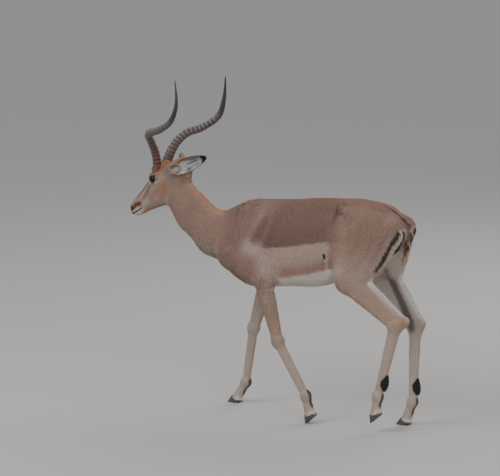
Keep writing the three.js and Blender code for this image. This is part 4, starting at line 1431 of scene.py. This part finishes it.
def ear_hair(ears):
    """Short hair over the ears' backs and long pale hair inside, from root to tip."""
    pieces = []
    for number, (ear, ring) in enumerate(ears):
        rng = np.random.default_rng(300 + number)
        rows, sides, _ = ring.shape
        arc = sides // 2
        _, length, face, across, _ = ear_axes(ear)
        for kind, grid in (("outer", ring[:, :arc]), ("inner", ring[:, arc:])):
            count, facing, sway, lift, chart, rings = EAR_HAIR[kind].values()
            t = rng.uniform(0.08, 0.985, count)
            s = rng.uniform(-0.97, 0.97, count)
            i, j = t * (rows - 1), (s + 1) / 2 * (arc - 1)
            i0, j0 = np.minimum(i.astype(int), rows - 2), np.minimum(j.astype(int), arc - 2)
            a, b, c, d = grid[i0, j0], grid[i0, j0 + 1], grid[i0 + 1, j0], grid[i0 + 1, j0 + 1]
            beside = (j - j0)[:, None]
            roots = mix(mix(a, b, beside), mix(c, d, beside), (i - i0)[:, None])
            out = unit(np.cross(b - a, c - a))
            away = np.einsum("ij,ij->i", out, roots - ring[i0].mean(1) - face * 14)
            out = out * (np.sign(away) * facing)[:, None]
            place = s * facing
            inside = np.full(count, float(kind == "inner"))
            colours = rooted(jitter(ear_colour(t, place, inside), rng, 0.07), t)
            flows = unit(length + across * (place * sway)[:, None] - out * (out @ length)[:, None])
            size = np.full(count, 8.0)
            if kind == "inner":
                size = mix(17, 8, soft(t, 0.4, 0.95)) * mix(1, 0.6, soft(np.abs(s), 0.6, 0.95))
            where = "left" if ear["side"] < 0 else "right"
            pieces.append(tuft_mesh(f"ear_{kind}_hair_{where}", roots, out, flows, size,
                                    np.full(count, 1.5), np.full(count, lift), colours,
                                    np.stack([t * 0.96 + 0.02, (s + 1) * 0.24 + chart], 1), rng,
                                    rings=rings))
    return pieces


# ------------------------------------------------------------ horns, eyes and claws
HORN = dict(depth=19.5, width=16.5, ringed=0.66, rings=19, taper=0.7, tip=0.1)
HORN_PATHS = {
    "left": [(-432, 32, 978), (-420, 38, 1000), (-416, 60, 1056), (-413, 95, 1103),
             (-404, 130, 1138), (-314, 185, 1170), (-253, 205, 1208), (-222, 213, 1275),
             (-231, 205, 1375)],
    "right": [(-434, 32, 978), (-422, 38, 1000), (-412, 62, 1047), (-404, 98, 1085),
              (-380, 138, 1118), (-332, 185, 1140), (-266, 210, 1192), (-241, 212, 1270),
              (-231, 205, 1358)],
}


def smooth_curve(path, count, per=60):
    """Points evenly spaced along the centripetal Catmull-Rom curve through the path, with
    tangents. Each knot's step is the square root of the chord."""
    path = np.array(path, float)
    path = np.concatenate([[2 * path[0] - path[1]], path, [2 * path[-1] - path[-2]]])
    rows = []
    for p0, p1, p2, p3 in zip(path, path[1:], path[2:], path[3:]):
        d0, d1, d2 = (max(np.linalg.norm(b - a) ** 0.5, 1e-4)
                      for a, b in ((p0, p1), (p1, p2), (p2, p3)))
        m1 = ((p1 - p0) / d0 - (p2 - p0) / (d0 + d1) + (p2 - p1) / d1) * d1
        m2 = ((p2 - p1) / d1 - (p3 - p1) / (d1 + d2) + (p3 - p2) / d2) * d1
        t = np.linspace(0, 1, per, endpoint=False)[:, None]
        rows.append(p1 + m1 * t + (3 * (p2 - p1) - 2 * m1 - m2) * t ** 2
                    + (2 * (p1 - p2) + m1 + m2) * t ** 3)
    fine = np.concatenate(rows + [path[-2:-1]])
    done = np.append(0, np.cumsum(np.linalg.norm(np.diff(fine, axis=0), axis=1)))
    at = np.linspace(0, done[-1], count)
    spots = np.stack([np.interp(at, done, fine[:, n]) for n in range(3)], 1)
    return spots, unit(np.gradient(spots, axis=0))


def build_horn(side, name, rows=260, sides=28):
    """A lyre-shaped horn: ringed below, smooth and dark towards the tip, a flattened oval
    across. Each ring's crest is strongest in front."""
    path = [(x, side * y, z) for x, y, z in HORN_PATHS[name]]
    spots, tangents = smooth_curve(path, rows)
    t = np.linspace(0, 1, rows)
    inward = np.array([-0.8, -0.6 * side, 0])
    front = unit(inward - tangents * (tangents @ inward)[:, None])
    flank = np.cross(tangents, front)
    turn = np.arange(sides) * 2 * math.pi / sides
    taper = np.where(t < HORN["ringed"], mix(1, HORN["taper"], t / HORN["ringed"]),
                     mix(HORN["taper"], HORN["tip"], (t - HORN["ringed"]) / (1 - HORN["ringed"])))
    phase = (t / HORN["ringed"]) ** 0.92 * HORN["rings"]
    wave = 1 - np.abs(np.sin(math.pi * phase)) ** 0.8
    fade = soft(t, 0.02, 0.06) * fall(t, HORN["ringed"] - 0.06, HORN["ringed"] + 0.05)
    crest = (wave * fade)[:, None] * (0.12 + 0.035 * np.cos(turn))[None]
    slant = 0.03 * np.sin(turn * 3 + 1.0)[None] * fade[:, None] * 0.25
    size = taper[:, None] * (1.03 + crest + slant)
    size[-1] *= 0.35
    ring = (spots[:, None] + front[:, None] * (HORN["depth"] * size * np.cos(turn))[..., None]
            + flank[:, None] * (HORN["width"] * size * np.sin(turn))[..., None])
    obj = lofted("horn_" + name, ring)
    along = np.append(np.repeat(t, sides), [0, 1])
    around = np.append(np.tile(turn, rows), [0, 0])
    valley = np.append(np.repeat((1 - wave) * fade, sides), [0, 0])
    colour = layered(
        tone(92, 72, 62),
        (tone(104, 94, 90), soft(along, 0.12, 0.4)),
        (tone(50, 50, 56), soft(along, 0.58, 0.74)),
        (tone(124, 84, 62), 0.7 * fall(np.cos(around), -0.8, -0.1) * fall(along, 0.1, 0.3)),
        (tone(46, 38, 36), 0.8 * valley ** 2),
        (tone(150, 146, 142), 0.3 * (1 - valley) * soft(along, 0.1, 0.2)
         * fall(along, 0.6, 0.68) * soft(np.cos(around), -0.3, 0.6)),
    )
    paint_points(obj.data, colour)
    return obj


def build_eye(side, name, rows=48, sides=64):
    """The eyeball, near black, with a wide dark pupil."""
    centre, along, up, out = eye_axes(side)
    polar = np.linspace(0.02, math.pi - 0.02, rows)[:, None]
    turn = np.arange(sides) * 2 * math.pi / sides
    p, q, r = (np.sin(polar) * np.cos(turn), np.sin(polar) * np.sin(turn),
               np.cos(polar) + 0 * turn)
    ring = centre + EYE["radius"] * (p[..., None] * along + q[..., None] * up + r[..., None] * out)
    obj = lofted("eye_" + name, ring)
    a, b = (np.append(v.ravel(), [0, 0]) for v in (p, q))
    colour = layered(tone(34, 22, 16),
                     (tone(6, 5, 6), fall(np.hypot(a / 0.52, b / 0.3), 0.92, 1.12)),
                     (tone(14, 11, 10), soft(np.hypot(a, b), 0.62, 0.72)))
    paint_points(obj.data, colour)
    return obj


CLAW = dict(spread=11.0, half=10.3, top=9.0)


def build_claw(leg, spread, name, rows=22, sides=40):
    """One claw: its wall runs from the sloping hair line to a flat sole with a rounded edge."""
    side = leg["side"]
    middle_y = side * ((FORE_Y if "elbow" in leg else HIND_Y) + spread)
    toe = np.array([leg["toe"][0], middle_y, leg["toe"][1]])
    down = np.linspace(-0.1, 1, rows)[:, None]
    turn = np.arange(sides)[None] * 2 * math.pi / sides
    share = (1 - np.cos(turn)) / 2
    hair = mix(HAIR_LINE["heel"], HAIR_LINE["toe"], share)
    along = mix(hair, mix(0, SOLE, share), down) - SOLE
    rise = mix(mix(HAIR_LINE["heel_rise"], HAIR_LINE["rise"], share), 0, down)
    half = np.where(down < 0.3, mix(CLAW["top"], CLAW["half"], (down + 0.1) / 0.4), CLAW["half"])
    point = 1 - 0.45 * np.maximum(0, -np.cos(turn))
    ridges = 1 + 0.006 * np.sin(down * 40 + share * 3)
    wide = half * point * np.sin(turn) * ridges
    ring = (toe + leg["forward"] * along[..., None] + leg["up"] * rise[..., None]
            + ACROSS * wide[..., None])
    ring[..., 2] = np.maximum(ring[..., 2], 0)
    obj = lofted(name, ring)
    near = np.append(np.repeat(down[:, 0], sides), [0, 1])
    colour = layered(tone(58, 62, 72),
                     (tone(92, 84, 78), 0.5 * fall(near, 0.02, 0.25)),
                     (tone(40, 40, 44), soft(near, 0.8, 1)))
    paint_points(obj.data, colour)
    return obj


# ------------------------------------------------------------ materials
def hide_material(name, roughness, bump=None, coat=0.0, sheen=0.0, shine=0.4):
    """A material that takes its colour from the vertices, with fine bumps where given as
    (spots to the metre, height in metres, strength)."""
    material = bpy.data.materials.new(name)
    material.use_nodes = True
    nodes, links = material.node_tree.nodes, material.node_tree.links
    shader = nodes["Principled BSDF"]
    colour = nodes.new("ShaderNodeAttribute")
    colour.attribute_name = "hide"
    links.new(colour.outputs["Color"], shader.inputs["Base Color"])
    settings = {"Roughness": roughness, "Coat Weight": coat, "Coat Roughness": 0.08,
                "Sheen Weight": sheen, "Sheen Roughness": 0.5, "Specular IOR Level": shine}
    for key, value in settings.items():
        shader.inputs[key].default_value = value
    if bump:
        spots, height, strength = bump
        place = nodes.new("ShaderNodeTexCoord")
        noise = nodes.new("ShaderNodeTexNoise")
        noise.inputs["Scale"].default_value = spots
        noise.inputs["Detail"].default_value = 4
        raised = nodes.new("ShaderNodeBump")
        raised.inputs["Strength"].default_value = strength
        raised.inputs["Distance"].default_value = height
        links.new(place.outputs["Object"], noise.inputs["Vector"])
        links.new(noise.outputs["Fac"], raised.inputs["Height"])
        links.new(raised.outputs["Normal"], shader.inputs["Normal"])
    return material


def wear(obj, material):
    """Gives a piece its material and its body."""
    obj.data.materials.append(material)
    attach(obj, "root")
    return obj


def build_animal():
    """Every piece of the ram, with the solids that it stands for."""
    hide = hide_material("hide", 0.8, (260, 0.0012, 0.4), shine=0.3)
    hair = hide_material("hair", 0.66, sheen=0.12, shine=0.3)
    horn = hide_material("horn", 0.42, (420, 0.0006, 0.5))
    hoof = hide_material("hoof", 0.28, (300, 0.0004, 0.3), coat=0.3)
    eye = hide_material("wet_eye", 0.1, shine=0.25)
    flesh = [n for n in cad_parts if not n.startswith(("horn", "eye")) and "claw" not in n]
    skin, body, ears = build_skin()
    wear(skin, hide)
    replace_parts(skin, *flesh)
    surface = skin_arrays(skin, body)
    for piece in dress(*surface) + long_hair(*surface):
        wear(piece, hair)
    for piece in ear_hair(ears):
        wear(piece, hair)
    for side, name in ((LEFT, "left"), (RIGHT, "right")):
        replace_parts(wear(build_horn(side, name), horn), "horn_" + name)
        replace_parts(wear(build_eye(side, name), eye), "eye_" + name)
    for leg, _ in LEGS:
        for which, spread in (("outer", CLAW["spread"]), ("inner", -CLAW["spread"])):
            name = f"{leg['name']}_claw_{which}"
            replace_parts(wear(build_claw(leg, spread, name), hoof), name)


build_animal()


# ------------------------------------------------------------ stage, light and camera
def stage():
    """A pale floor, soft lamps and a soft grey world."""
    bpy.ops.mesh.primitive_plane_add(size=240)
    floor = bpy.context.object
    floor.name = "floor"
    paint = bpy.data.materials.new("pale_floor")
    paint.use_nodes = True
    shader = paint.node_tree.nodes["Principled BSDF"]
    shader.inputs["Base Color"].default_value = (0.42, 0.40, 0.38, 1)
    shader.inputs["Roughness"].default_value = 0.9
    floor.data.materials.append(paint)
    for name, spot, size, power in (("key", (-2.2, -3.4, 4.2), 3.0, 150),
                                    ("fill", (3.4, -3.0, 2.2), 3.0, 60),
                                    ("back", (1.0, 3.6, 3.6), 3.0, 90)):
        lamp = bpy.data.lights.new(name, "AREA")
        lamp.size = size
        lamp.energy = power
        obj = bpy.data.objects.new(name, lamp)
        bpy.context.scene.collection.objects.link(obj)
        obj.location = spot
        aim = Vector((0, 0, 0.7)) - Vector(spot)
        obj.rotation_euler = aim.to_track_quat("-Z", "Y").to_euler()
    world = bpy.data.worlds.new("soft_grey")
    bpy.context.scene.world = world
    world.use_nodes = True
    world.node_tree.nodes["Background"].inputs["Color"].default_value = (0.78, 0.8, 0.84, 1)
    world.node_tree.nodes["Background"].inputs["Strength"].default_value = 0.82


VIEW = dict(turn=29.0, lift=9.5, distance=9.0, lens=158.05, look=(0, 0, 721))


def shoot():
    """The camera, turned and raised about the point it looks at."""
    turn, lift = math.radians(VIEW["turn"]), math.radians(VIEW["lift"])
    back = Vector((math.sin(turn) * math.cos(lift), -math.cos(turn) * math.cos(lift),
                   math.sin(lift)))
    camera = bpy.data.cameras.new("camera")
    obj = bpy.data.objects.new("camera", camera)
    bpy.context.scene.collection.objects.link(obj)
    obj.location = Vector(to_part(np.array(VIEW["look"], float))) + back * VIEW["distance"]
    obj.rotation_euler = back.to_track_quat("Z", "Y").to_euler()
    camera.lens = VIEW["lens"]
    camera.sensor_width = 36
    camera.clip_end = 100
    bpy.context.scene.camera = obj


stage()
shoot()
